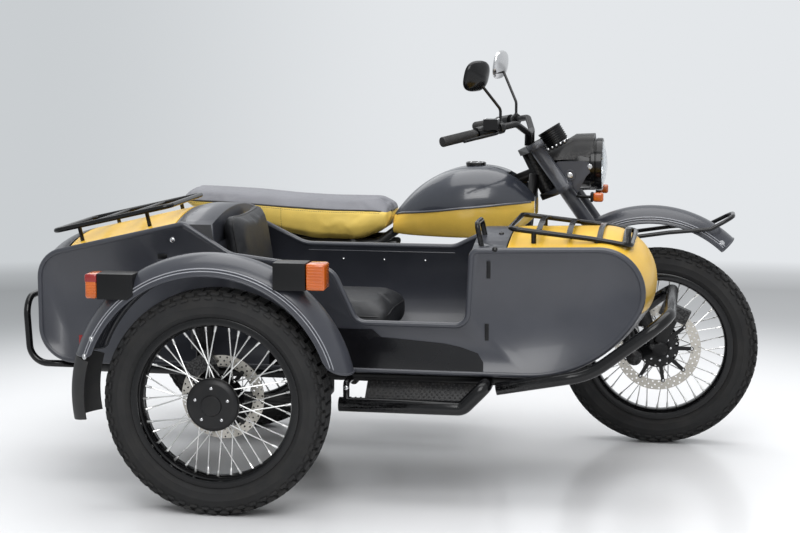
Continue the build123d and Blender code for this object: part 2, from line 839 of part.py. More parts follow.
def side_covers():
    """Flat covers below the seat, one on each side."""
    points = [(cover_x + cover_length * x, cover_z + cover_height * z) for x, z in cover_shares]
    inner = cradle_half + frame_tube + seat_gap
    cover = side_sheet(points, cover_corner, -inner - cover_sheet, -inner)
    return group([cover, mirrored(cover)])


# Steering

def leg_x(height):
    """X of the upper fork leg's middle at a height."""
    return line_z((leg_top_z, leg_top_x), (leg_knee_z, leg_knee_x), height)


def yoke(drop):
    """Fork bridge square to the steering axis, from the stem forward to both legs."""
    lean = radians(rake_deg)
    centre = on_axis(drop)
    flat = Plane(origin=centre, x_dir=(cos(lean), 0, sin(lean)), z_dir=(-sin(lean), 0, cos(lean)))
    slope = (leg_knee_x - leg_top_x) / (leg_top_z - leg_knee_z)
    reach = (leg_x(centre[2]) - centre[0]) / (cos(lean) + slope * sin(lean))
    arms = Sketch()
    for side in (-1, 1):
        ends = Sketch() + [Circle(yoke_width / 2), Pos(reach, side * leg_half) * Circle(leg_radius * 1.3)]
        arms += make_hull(ends.edges())
    return flat * extrude(arms, amount=yoke_thickness / 2, both=True)


def leg_tube(side, radius):
    """One bent fork leg from the top yoke down to the link's pivot."""
    y = side * leg_half
    return pipe([(leg_top_x, y, leg_top_z), (leg_knee_x, y, leg_knee_z), (link_pivot_x, y, link_pivot_z)],
                leg_bend, radius)


def fork():
    """Stem, two yokes, two bent legs with their feet, and the brackets of the shocks."""
    parts = [yoke(-yoke_thickness / 2 + head_tube_drop - seat_gap), yoke(low_yoke_drop - head_tube_drop + yoke_thickness / 2 + seat_gap)]
    for side in (-1, 1):
        y = side * leg_half
        parts.append(leg_tube(side, leg_radius))
        inner = side * (link_inner + link_thickness + seat_gap)
        parts.append(bar((link_pivot_x, inner, link_pivot_z), (link_pivot_x, y + side * leg_radius, link_pivot_z),
                         leg_radius * 1.1))
        parts.append(bar((leg_knee_x, y, leg_knee_z), (shock_head_x, y, shock_head_z + shock_pin), shock_pin))
    stem = bar(on_axis(0), on_axis(low_yoke_drop), stem_radius)
    return stem.fuse(*parts)


def front_suspension():
    """Leading links joined by the axle, with the caliper, and the two covered shocks."""
    outer = link_inner + link_thickness
    x, z = front_centre[0], front_centre[2]
    axle = bar((x, -outer, z), (x, outer, z), axle_radius)
    parts, shocks = [], []
    for side in (-1, 1):
        ends = Sketch() + [Pos(link_pivot_x, link_pivot_z) * Circle(link_height / 2),
                           Pos(x + link_height * 0.3, z) * Circle(link_height / 2)]
        plate = Plane.XZ * extrude(make_hull(ends.edges()), amount=link_thickness)
        parts.append(Location((0, outer if side > 0 else -link_inner, 0)) * plate)
        parts.append(bar((shock_base_x, side * outer, shock_base_z),
                         (shock_base_x, side * (leg_half + shock_pin), shock_base_z), shock_pin))
        parts.append(bar((x, side * (hub_width / 2 + seat_gap), z), (x, side * (outer + axle_nut), z), axle_nut_radius))
        shocks.append(covered_shock((shock_base_x, side * leg_half, shock_base_z),
                                    (shock_head_x, side * leg_half, shock_head_z - shock_pin), shock_pin, shock_radius))
    brake = caliper(front_centre, front_disc_radius, -1, front_caliper_deg)
    return group([axle.fuse(brake, *parts), *shocks])


def headlight():
    """Lamp bucket with its ring, the ears that carry it, and the speedometer pod above."""
    ring = bucket_depth - bucket_ring
    inside = bucket_radius - glass_lip
    bucket = revolve(make_face(Polyline(
        (0, 0), (bucket_radius * 0.55, 0), (bucket_radius * 0.87, bucket_depth * 0.3),
        (bucket_radius * 0.95, bucket_depth * 0.55), (bucket_radius * 0.95, ring),
        (bucket_radius, ring), (bucket_radius, bucket_depth), (inside, bucket_depth),
        (inside, bucket_depth - glass_lip), (0, bucket_depth - glass_lip), close=True)), axis=Axis.Y)
    lamp = Location((lamp_front_x - bucket_depth, 0, lamp_z)) * Rotation(0, 0, -90) * bucket
    lean = radians(pod_lean_deg)
    base = (pod_x + pod_depth * sin(lean), 0, pod_z - pod_depth * cos(lean))
    parts = [bar((pod_x, 0, pod_z), base, pod_radius),
             bar(base, (lamp_front_x - bucket_depth * 0.6, 0, lamp_z + bucket_radius * 0.3), pod_radius * 0.7)]
    ear_x = leg_x(lamp_z) + leg_radius * 0.5
    for side in (-1, 1):
        inner = side * bucket_radius * 0.86
        outer = side * (leg_half - leg_radius - seat_gap)
        points = [(ear_x - leg_radius, lamp_z + bucket_radius * 0.3), (lamp_front_x - bucket_ring, lamp_z + bucket_radius * 0.3),
                  (lamp_front_x - bucket_ring * 2, lamp_z - bucket_radius * 0.45),
                  (leg_x(lamp_z - bucket_radius * 0.45), lamp_z - bucket_radius * 0.45)]
        low, high = sorted((outer, outer - side * ear_sheet))
        parts.append(side_sheet(points, 0, low, high))
    return lamp.fuse(*parts)


def headlight_glass():
    """Domed glass seated in the bucket's ring."""
    radius = bucket_radius - glass_lip - seat_gap
    dome = (radius ** 2 + glass_dome ** 2) / (2 * glass_dome)
    top = glass_edge + glass_dome
    mid = radius * 0.5
    mid_y = top - dome + (dome ** 2 - mid ** 2) ** 0.5
    edge = Curve() + [Line((0, 0), (radius, 0)), Line((radius, 0), (radius, glass_edge)),
                      ThreePointArc((radius, glass_edge), (mid, mid_y), (0, top)), Line((0, top), (0, 0))]
    solid = revolve(make_face(edge), axis=Axis.Y)
    return Location((lamp_front_x - glass_lip + seat_gap, 0, lamp_z)) * Rotation(0, 0, -90) * solid


def front_indicators():
    """Turn lamps on short stalks from the fork legs, below the headlight."""
    lamps = []
    for side in (-1, 1):
        y = side * indicator_y
        start = (leg_x(indicator_z), side * (leg_half + leg_radius + seat_gap), indicator_z)
        body = box(indicator_x - indicator_length, indicator_x, y - indicator_width / 2, y + indicator_width / 2,
                   indicator_z - indicator_height / 2, indicator_z + indicator_height / 2)
        lamps.append(body + pipe([start, (start[0], y, indicator_z), (indicator_x - indicator_length / 2, y, indicator_z)],
                                 stem_wire, stem_wire))
    return group(lamps)


def grip_point(side, share):
    """Point on the handlebar's outer run, at a share of the way from its end inwards."""
    end = Vector(bar_end_x, side * bar_end_y, bar_end_z)
    elbow = Vector(bar_elbow_x, side * bar_elbow_y, bar_elbow_z)
    return end + (elbow - end) * share


def handlebar():
    """One bent tube from end to end, and the two risers that stand on the top yoke."""
    half = [(bar_end_x, bar_end_y, bar_end_z), (bar_elbow_x, bar_elbow_y, bar_elbow_z), (bar_x, bar_clamp_half, bar_z)]
    path = [(x, -y, z) for x, y, z in half] + list(reversed(half))
    whole = pipe(path, bar_bend, bar_radius)
    lean = radians(rake_deg)
    top = on_axis(-yoke_thickness + head_tube_drop - seat_gap * 2)
    for side in (-1, 1):
        y = side * riser_half
        foot = (top[0] + riser_radius * cos(lean), y, top[2] + riser_radius * sin(lean))
        whole += bar((bar_x, y, bar_z), foot, riser_radius)
    return whole - square_block(top)


def square_block(top):
    """Half space below the top yoke's upper face, as a block square to the steering axis."""
    lean = radians(rake_deg)
    flat = Plane(origin=top, x_dir=(cos(lean), 0, sin(lean)), z_dir=(-sin(lean), 0, cos(lean)))
    size = leg_half * 2
    return flat * Box(size, size, size, align=(Align.CENTER, Align.CENTER, Align.MAX))


def grips():
    """Rubber grips over the bar's ends, closed at the outside."""
    sleeves = []
    for side in (-1, 1):
        end, inner = grip_point(side, 0), grip_point(side, grip_share)
        along = (end - inner).normalized()
        sleeve = bar(end + along * grip_wall, inner, grip_radius)
        sleeves.append(sleeve - bar(end + along * seat_gap, inner - along * overrun, bar_radius + seat_gap))
    return group(sleeves)


def hand_controls():
    """Switch block with its lever on each side, and the brake reservoir on the right."""
    pieces = []
    for side in (-1, 1):
        near, far = grip_point(side, grip_share + 0.03), grip_point(side, grip_share + 0.27)
        along = (near - far).normalized()
        block = bar(near, far, switch_radius)
        middle = (near + far) * 0.5
        knee = middle + Vector(lever_ahead, 0, 0)
        tip = knee + along * lever_length
        block += pipe([tuple(middle), tuple(knee), tuple(tip)], lever_bend, lever_radius)
        if side < 0:
            block += Location(tuple(middle + Vector(switch_radius, 0, switch_radius * 1.2))) * Box(
                reservoir_length, reservoir_width, reservoir_height)
        pieces.append(block - bar(near + along * reservoir_width / 2, far - along * reservoir_width / 2, bar_radius + seat_gap))
    return group(pieces)


def mirrors():
    """Rounded mirrors on bent stems, clamped to the bar beside the switch blocks."""
    pieces = []
    for side, top_z in ((-1, mirror_right_z), (1, mirror_left_z)):
        base = grip_point(side, grip_share + 0.36)
        along = (grip_point(side, 1) - base).normalized()
        clamp = bar(base - along * mirror_clamp / 2, base + along * mirror_clamp / 2, mirror_clamp)
        head = Vector(mirror_x, side * mirror_y, top_z)
        stem = pipe([tuple(base + Vector(0, 0, bar_radius + stem_wire)), (base.X, base.Y, base.Z + mirror_stem), tuple(head)],
                    mirror_stem / 2, stem_wire)
        shell = extrude(Plane.YZ * RectangleRounded(mirror_width, mirror_height, mirror_corner),
                        amount=mirror_depth / 2, both=True)
        hole = bar(base - along * mirror_clamp, base + along * mirror_clamp, bar_radius + seat_gap)
        pieces.append((clamp - hole) + stem + Location(tuple(head)) * shell)
    return group(pieces)


def front_fender():
    """High mudguard over the front wheel."""
    return arched_guard((fender_x, 0, fender_z), fender_radius, fender_drop, fender_half, guard_sheet,
                        fender_start, fender_end, guard_bead)


def fender_loop():
    """Tube brace from both fork legs, beside the mudguard and round its front."""
    bow = (fender_half ** 2 + fender_drop ** 2) / (2 * fender_drop)
    y = fender_half * (1 - guard_sheet / (2 * bow)) + guard_bead + loop_radius + seat_gap
    rear_x = line_z((leg_knee_z, leg_knee_x), (link_pivot_z, link_pivot_x), loop_rear_z)
    side = [(rear_x, leg_half, loop_rear_z), (rear_x + loop_bend, y, loop_rear_z + loop_radius), (loop_mid_x, y, loop_mid_z), (loop_low_x, y, loop_low_z), (loop_tip_x, y * 0.8, loop_tip_z)]
    path = [(x, -y_place, z) for x, y_place, z in side] + list(reversed(side))
    small = loop_bend / 2
    loop = pipe(path, [small, small, small, loop_bend, loop_bend, small, small, small], loop_radius)
    return loop - leg_tube(-1, leg_radius + seat_gap) - leg_tube(1, leg_radius + seat_gap)


# Sidecar body

def body_corners():
    """Corners and bends of the body's outline: lid front, tail top and low, belly, nose, cowl."""
    length, height = body_front_x - body_rear_x, body_top_z - body_floor_z
    points = [(body_rear_x + length * x, body_floor_z + height * z) for x, z, bend in body_shares]
    return points, [height * bend for x, z, bend in body_shares]


def side_panel(opening_shares, y_low):
    """One flat side sheet of the body with a rolled bead all round its edge."""
    length, height = body_front_x - body_rear_x, body_top_z - body_floor_z
    points, bends = body_corners()
    points += [(body_rear_x + length * x, body_floor_z + height * z) for x, z, bend in opening_shares]
    bends += [height * bend for x, z, bend in opening_shares]
    sheet = side_sheet(points, bends, y_low, y_low + body_wall)
    middle = y_low + body_wall / 2
    path = FilletPolyline(*[(x, middle, z) for x, z in points], radius=bends, close=True)
    bead = sweep(Plane(origin=path @ 0, z_dir=path % 0) * Circle(bead_edge), path=path)
    return sheet + bead


body_middle_y = (body_out_y + body_in_y) / 2
fused_inset = body_wall / 2 + bead_edge / 2
loose_inset = body_wall / 2 + bead_edge + seat_gap


def crown_arc(inset):
    """Half width of a crowned skin, and the radius of its arch."""
    half = (body_in_y - body_out_y) / 2 - inset
    return half, (half ** 2 + crown_rise ** 2) / (2 * crown_rise)


def crowned_skin(points, bends, inset, lift=0, sheet=crown_sheet):
    """Sheet between the side sheets, arched across and led along a run in X and Z."""
    half, bow = crown_arc(inset)
    run = [(x, body_middle_y, z) for x, z in points]
    path = FilletPolyline(*run, radius=bends) if bends else Line(*run)
    edge = Curve() + [
        ThreePointArc((-half, 0), (0, crown_rise), (half, 0)), Line((half, 0), (half, -sheet)),
        ThreePointArc((half, -sheet), (0, crown_rise - sheet), (-half, -sheet)), Line((-half, -sheet), (-half, 0))]
    flat = Plane(origin=path @ 0, x_dir=(0, 1, 0), z_dir=path % 0)
    return sweep(flat * Pos(0, lift) * make_face(edge), path=path)


def floor_plate():
    """Floor between the side sheets; its round ends meet the crowned tail and nose."""
    (lid_front, tail_top, tail_low, belly, nose, cowl), bends = body_corners()
    half, bow = crown_arc(fused_inset)
    turn = radians(90) - atan2(belly[0] - nose[0], belly[1] - nose[1]) - radians(90)
    rise = atan2(nose[1] - belly[1], nose[0] - belly[0])
    front_x = belly[0] - bends[3] * tan(rise / 2)
    rear_x = tail_low[0] + bends[2]
    plate = box(rear_x, front_x, body_middle_y - half, body_middle_y + half, body_floor_z, body_floor_z + body_wall)
    for x, bend in ((rear_x, bends[2]), (front_x, bends[3])):
        reach = ((bend + crown_rise) ** 2 - bend ** 2) ** 0.5
        plate += Location((x, body_middle_y, body_floor_z)) * extrude(Ellipse(reach, half), amount=body_wall)
    return plate


def sidecar_body():
    """Side sheets, floor, crowned tail, cowl and lower nose, rear deck and seat bulkhead."""
    (lid_front, tail_top, tail_low, belly, nose, cowl), bends = body_corners()
    near = side_panel(near_opening_shares, body_out_y)
    far = side_panel(far_opening_shares, body_in_y - body_wall)
    tail_start = share_point(lid_front, tail_top, lid_rear_share + lid_clear / (lid_front[0] - tail_top[0]))
    reach = crown_rise * 9
    tail = crowned_skin([(tail_low[0] + reach, tail_low[1]), tail_low, tail_top, tail_start], [bends[2], bends[1]], fused_inset)
    split = share_point(cowl, nose, cowl_share)
    low_split = share_point(nose, belly, nose_skin_share)
    front = crowned_skin([split, nose, belly, (belly[0] - reach, belly[1])], [bends[4], bends[3]], fused_inset)
    front -= box(0, body_front_x * 2, body_out_y * 2, 0, low_split[1], body_top_z * 2)
    below = box(body_rear_x * 2, body_front_x * 2, body_out_y * 2, 0, 0, body_floor_z)
    cowl_skin = crowned_skin([cowl, split], [], fused_inset)
    deck_rear = share_point(lid_front, tail_top, lid_front_share - lid_clear / (lid_front[0] - tail_top[0]))
    deck_front = (lid_front[0] + deck_length, lid_front[1])
    deck = crowned_skin([deck_rear, lid_front, deck_front], [deck_length / 3], fused_inset)
    y_low, y_high = body_out_y + body_wall / 2, body_in_y - body_wall / 2
    foot_x = deck_front[0] + bulkhead_lean
    bulkhead = side_sheet([(foot_x - body_wall, body_floor_z), (foot_x, body_floor_z), deck_front,
                           (deck_front[0] - body_wall, deck_front[1])], 0, y_low, y_high)
    gusset_z = body_floor_z + (body_top_z - body_floor_z) * 0.7
    gusset = [(lid_front[0], gusset_z), (deck_front[0] + bulkhead_lean * 0.28, gusset_z), deck_front, lid_front]
    gussets = [side_sheet(gusset, 0, y_low, y_low + body_wall), side_sheet(gusset, 0, y_high - body_wall, y_high)]
    half, bow = crown_arc(fused_inset)
    fill_edge = Curve() + [ThreePointArc((-half, 0), (0, crown_rise), (half, 0)), Line((half, 0), (-half, 0))]
    fill_flat = Plane(origin=(deck_front[0] - body_wall, body_middle_y, deck_front[1] - crown_sheet / 2),
                      x_dir=(0, 1, 0), z_dir=(1, 0, 0))
    fill = extrude(fill_flat * make_face(fill_edge), amount=body_wall)
    base = box(seat_base_x, seat_base_x + seat_base_length, y_low + cushion_side * 2, y_high - cushion_side * 2,
               body_floor_z, body_floor_z + seat_base_height)
    return near.fuse(far, floor_plate(), cowl_skin, deck, bulkhead, fill, base, *gussets, *hinge_knuckles(),
                    tail - below, front - below)


def sidecar_nose():
    """Crowned nose panel from the cowl over the front, down to the lower nose."""
    corners, bends = body_corners()
    belly, nose, cowl = corners[3], corners[4], corners[5]
    split = share_point(cowl, nose, cowl_share)
    low_split = share_point(nose, belly, nose_skin_share)
    skin = crowned_skin([split, nose, share_point(nose, belly, nose_skin_share * 1.3)], [bends[4]], loose_inset)
    skin -= box(0, body_front_x * 2, body_out_y * 2, 0, 0, low_split[1] + seat_gap)
    return skin - box(0, split[0] + crown_rise * 0.1 + seat_gap, body_out_y * 2, 0, 0, body_top_z * 2)


def lid_run():
    """Rear and front ends of the lid along the body's sloping top line."""
    corners, bends = body_corners()
    lid_front, tail_top = corners[0], corners[1]
    return share_point(lid_front, tail_top, lid_rear_share), share_point(lid_front, tail_top, lid_front_share)


def lid_frame():
    """Unit vectors along the lid, from tail to front, and square to it, upwards."""
    rear, front = lid_run()
    along = Vector(front[0] - rear[0], 0, front[1] - rear[1]).normalized()
    return along, Vector(-along.Z, 0, along.X)


def lid_hinge():
    """Middle of the hinge line above the far bead, and the line's direction."""
    rear, front = lid_run()
    along, up = lid_frame()
    edge_y = body_in_y - body_wall / 2 - bead_edge - lid_clear
    middle = Vector((rear[0] + front[0]) / 2, edge_y - hinge_radius, (rear[1] + front[1]) / 2)
    return middle + up * hinge_rise, along


def hinge_spots():
    """Middles of the lid's hinge barrels along the hinge line."""
    rear, front = lid_run()
    centre, along = lid_hinge()
    length = (Vector(*front) - Vector(*rear)).length
    return [centre + along * (length * share) for share in hinge_places_shares]


def hinge_knuckles():
    """Fixed knuckles beside the lid's barrels, each on a short arm from the body's bead."""
    centre, along = lid_hinge()
    frame_along, up = lid_frame()
    parts = []
    for spot in hinge_spots():
        start = spot + along * (hinge_length / 2 + seat_gap)
        end = start + along * knuckle_length
        middle = (start + end) * 0.5
        bead = Vector(middle.X, body_in_y - body_wall / 2, middle.Z) - up * hinge_rise
        parts += [bar(start, end, hinge_radius), bar(middle, bead, hinge_radius * 0.7)]
    return parts


def trunk_lid():
    """Crowned lid over the tail, with two hinge barrels along the far side."""
    rear, front = lid_run()
    inset = body_wall / 2 + bead_edge + lid_clear
    skin = crowned_skin([rear, front], [], inset)
    centre, along = lid_hinge()
    frame_along, up = lid_frame()
    for middle in hinge_spots():
        barrel = bar(middle - along * hinge_length / 2, middle + along * hinge_length / 2, hinge_radius)
        skin += barrel + bar(middle, middle - up * hinge_rise, hinge_radius * 0.8)
    return skin


def lid_spot(run, y, height):
    """Place on the lid: along it from its rear end, across the body and square off it."""
    rear, front = lid_run()
    along, up = lid_frame()
    spot = Vector(rear[0], y, rear[1]) + along * run + up * height
    return (spot.X, spot.Y, spot.Z)


def lid_rack():
    """Rack along the lid: a closed loop of tube, two cross bars and four feet."""
    rear, front = lid_run()
    length = (Vector(*front) - Vector(*rear)).length
    low, high = -lid_rack_over, length - lid_rack_short
    ring = [lid_spot(run, y, lid_rack_lift) for run, y in (
        (low, lid_rack_out_y), (high, lid_rack_out_y), (high, lid_rack_in_y), (low, lid_rack_in_y))]
    path = FilletPolyline(*ring, radius=rack_bend, close=True)
    whole = sweep(Plane(origin=path @ 0, z_dir=path % 0) * Circle(rack_radius), path=path)
    for share in lid_slat_shares:
        run = low + (high - low) * share
        whole += bar(lid_spot(run, lid_rack_out_y, lid_rack_lift), lid_spot(run, lid_rack_in_y, lid_rack_lift),
                     rack_radius * 0.8)
    for share in lid_foot_shares:
        run = low + (high - low) * share
        for y in (lid_rack_out_y, lid_rack_in_y):
            whole += bar(lid_spot(run, y, lid_rack_lift), lid_spot(run, y, 0), rack_radius * 0.8)
    inset = body_wall / 2 + bead_edge + lid_clear
    return whole - crowned_skin([rear, front], [], inset, seat_gap, crown_rise)


def body_rails():
    """Nose rack with its cross bars and feet, and the passenger's grab bar on the cowl."""
    corners, bends = body_corners()
    belly, nose, cowl = corners[3], corners[4], corners[5]
    knee, rear, front = (rack_knee_x, rack_knee_z), (rack_rear_x, rack_rear_z), (rack_front_x, rack_front_z)
    run = [rear, knee, front]
    ring = [(x, rack_out_y, z) for x, z in run] + [(x, rack_in_y, z) for x, z in reversed(run)]
    bends_list = [rack_bend, rack_bend * 3, rack_bend, rack_bend, rack_bend * 3, rack_bend]
    path = FilletPolyline(*ring, radius=bends_list, close=True)
    rack = sweep(Plane(origin=path @ 0, z_dir=path % 0) * Circle(rack_radius), path=path)

    def rack_z(x):
        return line_z(rear, knee, x) if x < knee[0] else line_z(knee, front, x)

    for share in rack_slat_shares:
        x = rack_rear_x + (rack_front_x - rack_rear_x) * share
        z = rack_z(x)
        low, high = z - slat_sheet / 2, z + slat_sheet / 2
        bow = Curve() + [
            ThreePointArc((rack_out_y, high), (body_middle_y, high + slat_rise), (rack_in_y, high)),
            Line((rack_in_y, high), (rack_in_y, low)),
            ThreePointArc((rack_in_y, low), (body_middle_y, low + slat_rise), (rack_out_y, low)),
            Line((rack_out_y, low), (rack_out_y, high))]
        flat = Plane(origin=(x - slat_width / 2, 0, 0), x_dir=(0, 1, 0), z_dir=(1, 0, 0))
        rack += extrude(flat * make_face(bow), amount=slat_width)
    for share in rack_foot_shares:
        x = rack_rear_x + (rack_front_x - rack_rear_x) * share
        for y in (rack_out_y, rack_in_y):
            rack += bar((x, y, rack_z(x)), (x, y, line_z(cowl, nose, x)), rack_radius)
    tip_x = rack_front_x - rack_bend * 0.3
    rack += bar((tip_x, rack_out_y + rack_bend * 0.3, rack_front_z), (tip_x, rack_out_y + rack_bend * 0.3, rack_front_z + rack_tip_rise), rack_radius)
    foot_x = grab_x + rack_radius * 2
    foot_z = line_z(cowl, nose, foot_x)
    grab = pipe([(foot_x, grab_y, foot_z), (grab_x, grab_y, grab_top_z), (grab_x, grab_y + grab_width, grab_top_z),
                 (foot_x, grab_y + grab_width, foot_z)], rack_bend * 0.7, rack_radius)
    room = crowned_skin([cowl, nose, share_point(nose, belly, nose_skin_share)], [bends[4]], fused_inset,
                        seat_gap, crown_rise)
    return group([rack - room, grab - room])


def sidecar_cushion():
    """Seat cushion on the seat base."""
    low = body_floor_z + seat_base_height + seat_gap
    front = seat_base_x + seat_base_length + cushion_side
    return box(front - cushion_length * 0.95, front, body_middle_y - cushion_width / 2, body_middle_y + cushion_width / 2,
               low, low + cushion_height)


def sidecar_backrest():
    """Backrest that leans on the seat bulkhead."""
    corners, bends = body_corners()
    top_x, top_z = corners[0][0] + deck_length, corners[0][1]

    def face(z):
        return top_x + (top_z - z) / (top_z - body_floor_z) * bulkhead_lean + seat_gap * 2

    points = [(face(back_low_z), back_low_z), (face(back_low_z) + back_thickness, back_low_z),
              (face(back_top_z) + back_thickness, back_top_z), (top_x + seat_gap * 2, back_top_z), (top_x + seat_gap * 2, top_z)]
    return side_sheet(points, [0, back_corner, back_corner, back_corner / 2, 0],
                      body_middle_y - back_width / 2, body_middle_y + back_width / 2)


# Sidecar chassis, mudguard and tubes

side_rail_z = body_floor_z - side_tube - seat_gap
guard_centre = (wheel_lead - side_guard_back, -track, axle_z + side_guard_up)
side_arm_y = -track + arm_half
cross_z = body_floor_z - bead_edge - step_tube - seat_gap * 2


def sidecar_frame():
    """Two long rails, cross tubes, four struts to the motorcycle and the wheel's carrier."""
    rails = [bar((side_rail_rear_x, y, side_rail_z), (side_rail_front_x, y, side_rail_z), side_tube)
             for y in (side_rail_out_y, side_rail_in_y)]
    parts = [bar((x, side_rail_out_y, side_rail_z), (x, side_rail_in_y, side_rail_z), side_tube * 0.9)
             for x in side_cross_places]
    end_y = -cradle_half - frame_tube - seat_gap
    for x in low_strut_places:
        parts.append(pipe([(x, side_rail_in_y, cross_z), (x, strut_knee_y, cross_z), (x, strut_rise_y, cradle_z),
                           (x, end_y, cradle_z)], strut_tube, strut_tube))
    front_x = line_z((cradle_z, cradle_front_x), (flare_z, flare_x), high_strut_z)
    for x in (cradle_rear_x, front_x):
        parts.append(pipe([(x, side_rail_in_y, cross_z), (x, strut_knee_y, cross_z),
                           (x, strut_rise_y, high_strut_z), (x, end_y, high_strut_z)], strut_tube * 2, strut_tube))
    pivot_end = side_arm_y - arm_tube * 1.6
    parts.append(bar((side_arm_pivot_x, side_rail_out_y, side_rail_z), (side_arm_pivot_x, side_rail_out_y, side_arm_z), arm_tube))
    parts.append(bar((side_arm_pivot_x, side_rail_out_y, side_arm_z), (side_arm_pivot_x, pivot_end, side_arm_z), arm_tube))
    pin_y = side_arm_y - arm_tube
    parts.append(pipe([(side_shock_x, side_rail_out_y, cross_z), (side_shock_x, side_tower_y, cross_z),
                       (side_shock_x, side_tower_y, side_shock_head_z), (side_shock_x, pin_y, side_shock_head_z)],
                      strut_tube * 1.5, strut_tube))
    return rails[0].fuse(rails[1], *parts)


def sidecar_suspension():
    """Trailing arm with the stub axle and caliper, and its covered shock."""
    x, y, z = side_centre
    boss = bar((side_arm_pivot_x, side_arm_y + arm_tube, side_arm_z), (side_arm_pivot_x, side_arm_y - arm_tube, side_arm_z),
               arm_tube * 1.6)
    inner = y + hub_width / 2 + seat_gap
    parts = [bar((side_arm_pivot_x, side_arm_y, side_arm_z), (x, side_arm_y, z), arm_tube),
             bar((x, side_arm_y + arm_tube, z), (x, inner, z), axle_nut_radius),
             bar((x, side_arm_y, z), (x, y - hub_width / 2 + overrun, z), axle_radius),
             bar((x, side_arm_y, z), (side_shock_x, side_arm_y, z), arm_tube),
             bar((side_shock_x, side_arm_y, z), (side_shock_x, side_arm_y, side_shock_foot_z - shock_pin), shock_pin * 1.3),
             caliper(side_centre, rear_disc_radius, 1, side_caliper_deg)]
    arm = boss.fuse(*parts) - bar((side_arm_pivot_x, side_arm_y * 0.5, side_arm_z),
                                  (side_arm_pivot_x, side_arm_y * 1.5, side_arm_z), arm_tube + axle_fit)
    foot = (side_shock_x, side_arm_y, side_shock_foot_z - shock_pin)
    low = Vector(*foot) + Vector(0, 0, seat_gap)
    high = Vector(side_shock_x, side_arm_y, side_shock_head_z - strut_tube - seat_gap)
    cover_low, cover_high = low + (high - low) * 0.42, low + (high - low) * 0.95
    shock = bar(low, high, shock_radius * 0.4) + bar(cover_low, cover_high, shock_radius)
    return group([arm, shock])


def guard_bars():
    """Step tube, tube round the nose and rear bumper, each ending at the side rails."""
    near_end = side_rail_out_y - side_tube - seat_gap
    step = pipe([(step_rear_x, step_y, step_z), (step_front_x - step_tube * 3, step_y, step_z),
                 (step_front_x, step_y, cross_z), (step_front_x, near_end, cross_z)],
                [step_tube * 1.5, step_tube * 1.2], step_tube)
    hanger_x = step_rear_x + step_tube
    step += pipe([(hanger_x, step_y, step_z), (hanger_x, step_y, cross_z), (hanger_x, near_end, cross_z)],
                 shock_pin * 1.2, shock_pin)
    run = [(nose_bar_rear_x, nose_bar_rear_z), (nose_bar_knee_x, nose_bar_knee_z), (nose_bar_tip_x, nose_bar_tip_z)]
    ring = [(x, nose_bar_y, z) for x, z in run] + [(x, nose_bar_in_y, z) for x, z in reversed(run)]
    bend = nose_bar_radius * 6
    nose_bar = pipe(ring, [bend * 2, bend * 0.7, bend * 0.7, bend * 2], nose_bar_radius)
    lug_x = line_z((nose_bar_rear_z, nose_bar_rear_x), (nose_bar_knee_z, nose_bar_knee_x), side_rail_z)
    for y, rail_y in ((nose_bar_y, side_rail_out_y), (nose_bar_in_y, side_rail_in_y)):
        side = 1 if rail_y > y else -1
        nose_bar += bar((lug_x, y, side_rail_z), (lug_x, rail_y - side * (side_tube + seat_gap), side_rail_z), shock_pin)
    rear = side_rail_rear_x - seat_gap
    tail = [(rear, side_rail_z), (bumper_rear_x + bumper_radius, side_rail_z), (bumper_rear_x, bumper_top_z)]
    hoop = [(x, side_rail_out_y, z) for x, z in tail] + [(x, side_rail_in_y, z) for x, z in reversed(tail)]
    bumper = pipe(hoop, bumper_bend, bumper_radius)
    return group([step, step_plate(), nose_bar, bumper])


def step_plate():
    """Plate to tread on, between the step tube and the rail."""
    y_low = step_y + step_tube + seat_gap
    return box(step_rear_x + step_plate_inset * 2, step_front_x - step_plate_inset * 3, y_low, side_rail_out_y - side_tube - seat_gap,
               step_z, step_z + step_plate_sheet)


def sidecar_fender():
    """Mudguard over the sidecar wheel, with two stays to the body's side."""
    guard = arched_guard(guard_centre, side_guard_radius, side_guard_drop, side_guard_half, guard_sheet,
                         side_guard_start, side_guard_end, guard_bead)
    lip = side_guard_radius - side_guard_drop
    for turn_deg in side_stay_degs:
        x = guard_centre[0] + lip * cos(radians(turn_deg))
        z = guard_centre[2] + lip * sin(radians(turn_deg))
        guard += bar((x, body_out_y - seat_gap, z), (x, -track + side_guard_half, z), stay_radius)
    return guard


def mudflap():
    """Rubber flap that carries the mudguard's section on below its tail."""
    return arched_guard(guard_centre, side_guard_radius, side_guard_drop, side_guard_half, flap_sheet,
                        side_guard_end + 0.1, flap_end, 0)


lamp_box_y = -track - lamp_box_out


def lamp_boxes():
    """Lamp boxes on the sidecar's mudguard: corners in X and Z, and the face's direction."""
    x, y, z = guard_centre
    front_x, front_z = (place + side_guard_radius * share for place, share in zip((x, z), front_box_share))
    rear_x, rear_z = (place + side_guard_radius * share for place, share in zip((x, z), rear_box_share))
    return [(front_x - front_box_length, front_x, front_z, front_z + front_box_height, 1),
            (rear_x, rear_x + rear_box_length, rear_z, rear_z + rear_box_height, -1)]


def lamp_housings():
    """Two lamp boxes that stand on the mudguard's outer slope."""
    core = guard_core(guard_centre, side_guard_radius + seat_gap, side_guard_drop, side_guard_half)
    core += arched_guard(guard_centre, side_guard_radius, side_guard_drop, side_guard_half, guard_sheet,
                         side_guard_start, side_guard_end, guard_bead + seat_gap)
    boxes = []
    for x_low, x_high, z_low, z_high, face in lamp_boxes():
        block = box(x_low, x_high, lamp_box_y, lamp_box_y + lamp_box_width, z_low, z_high) - core
        boxes.append(block)
    return group(boxes)


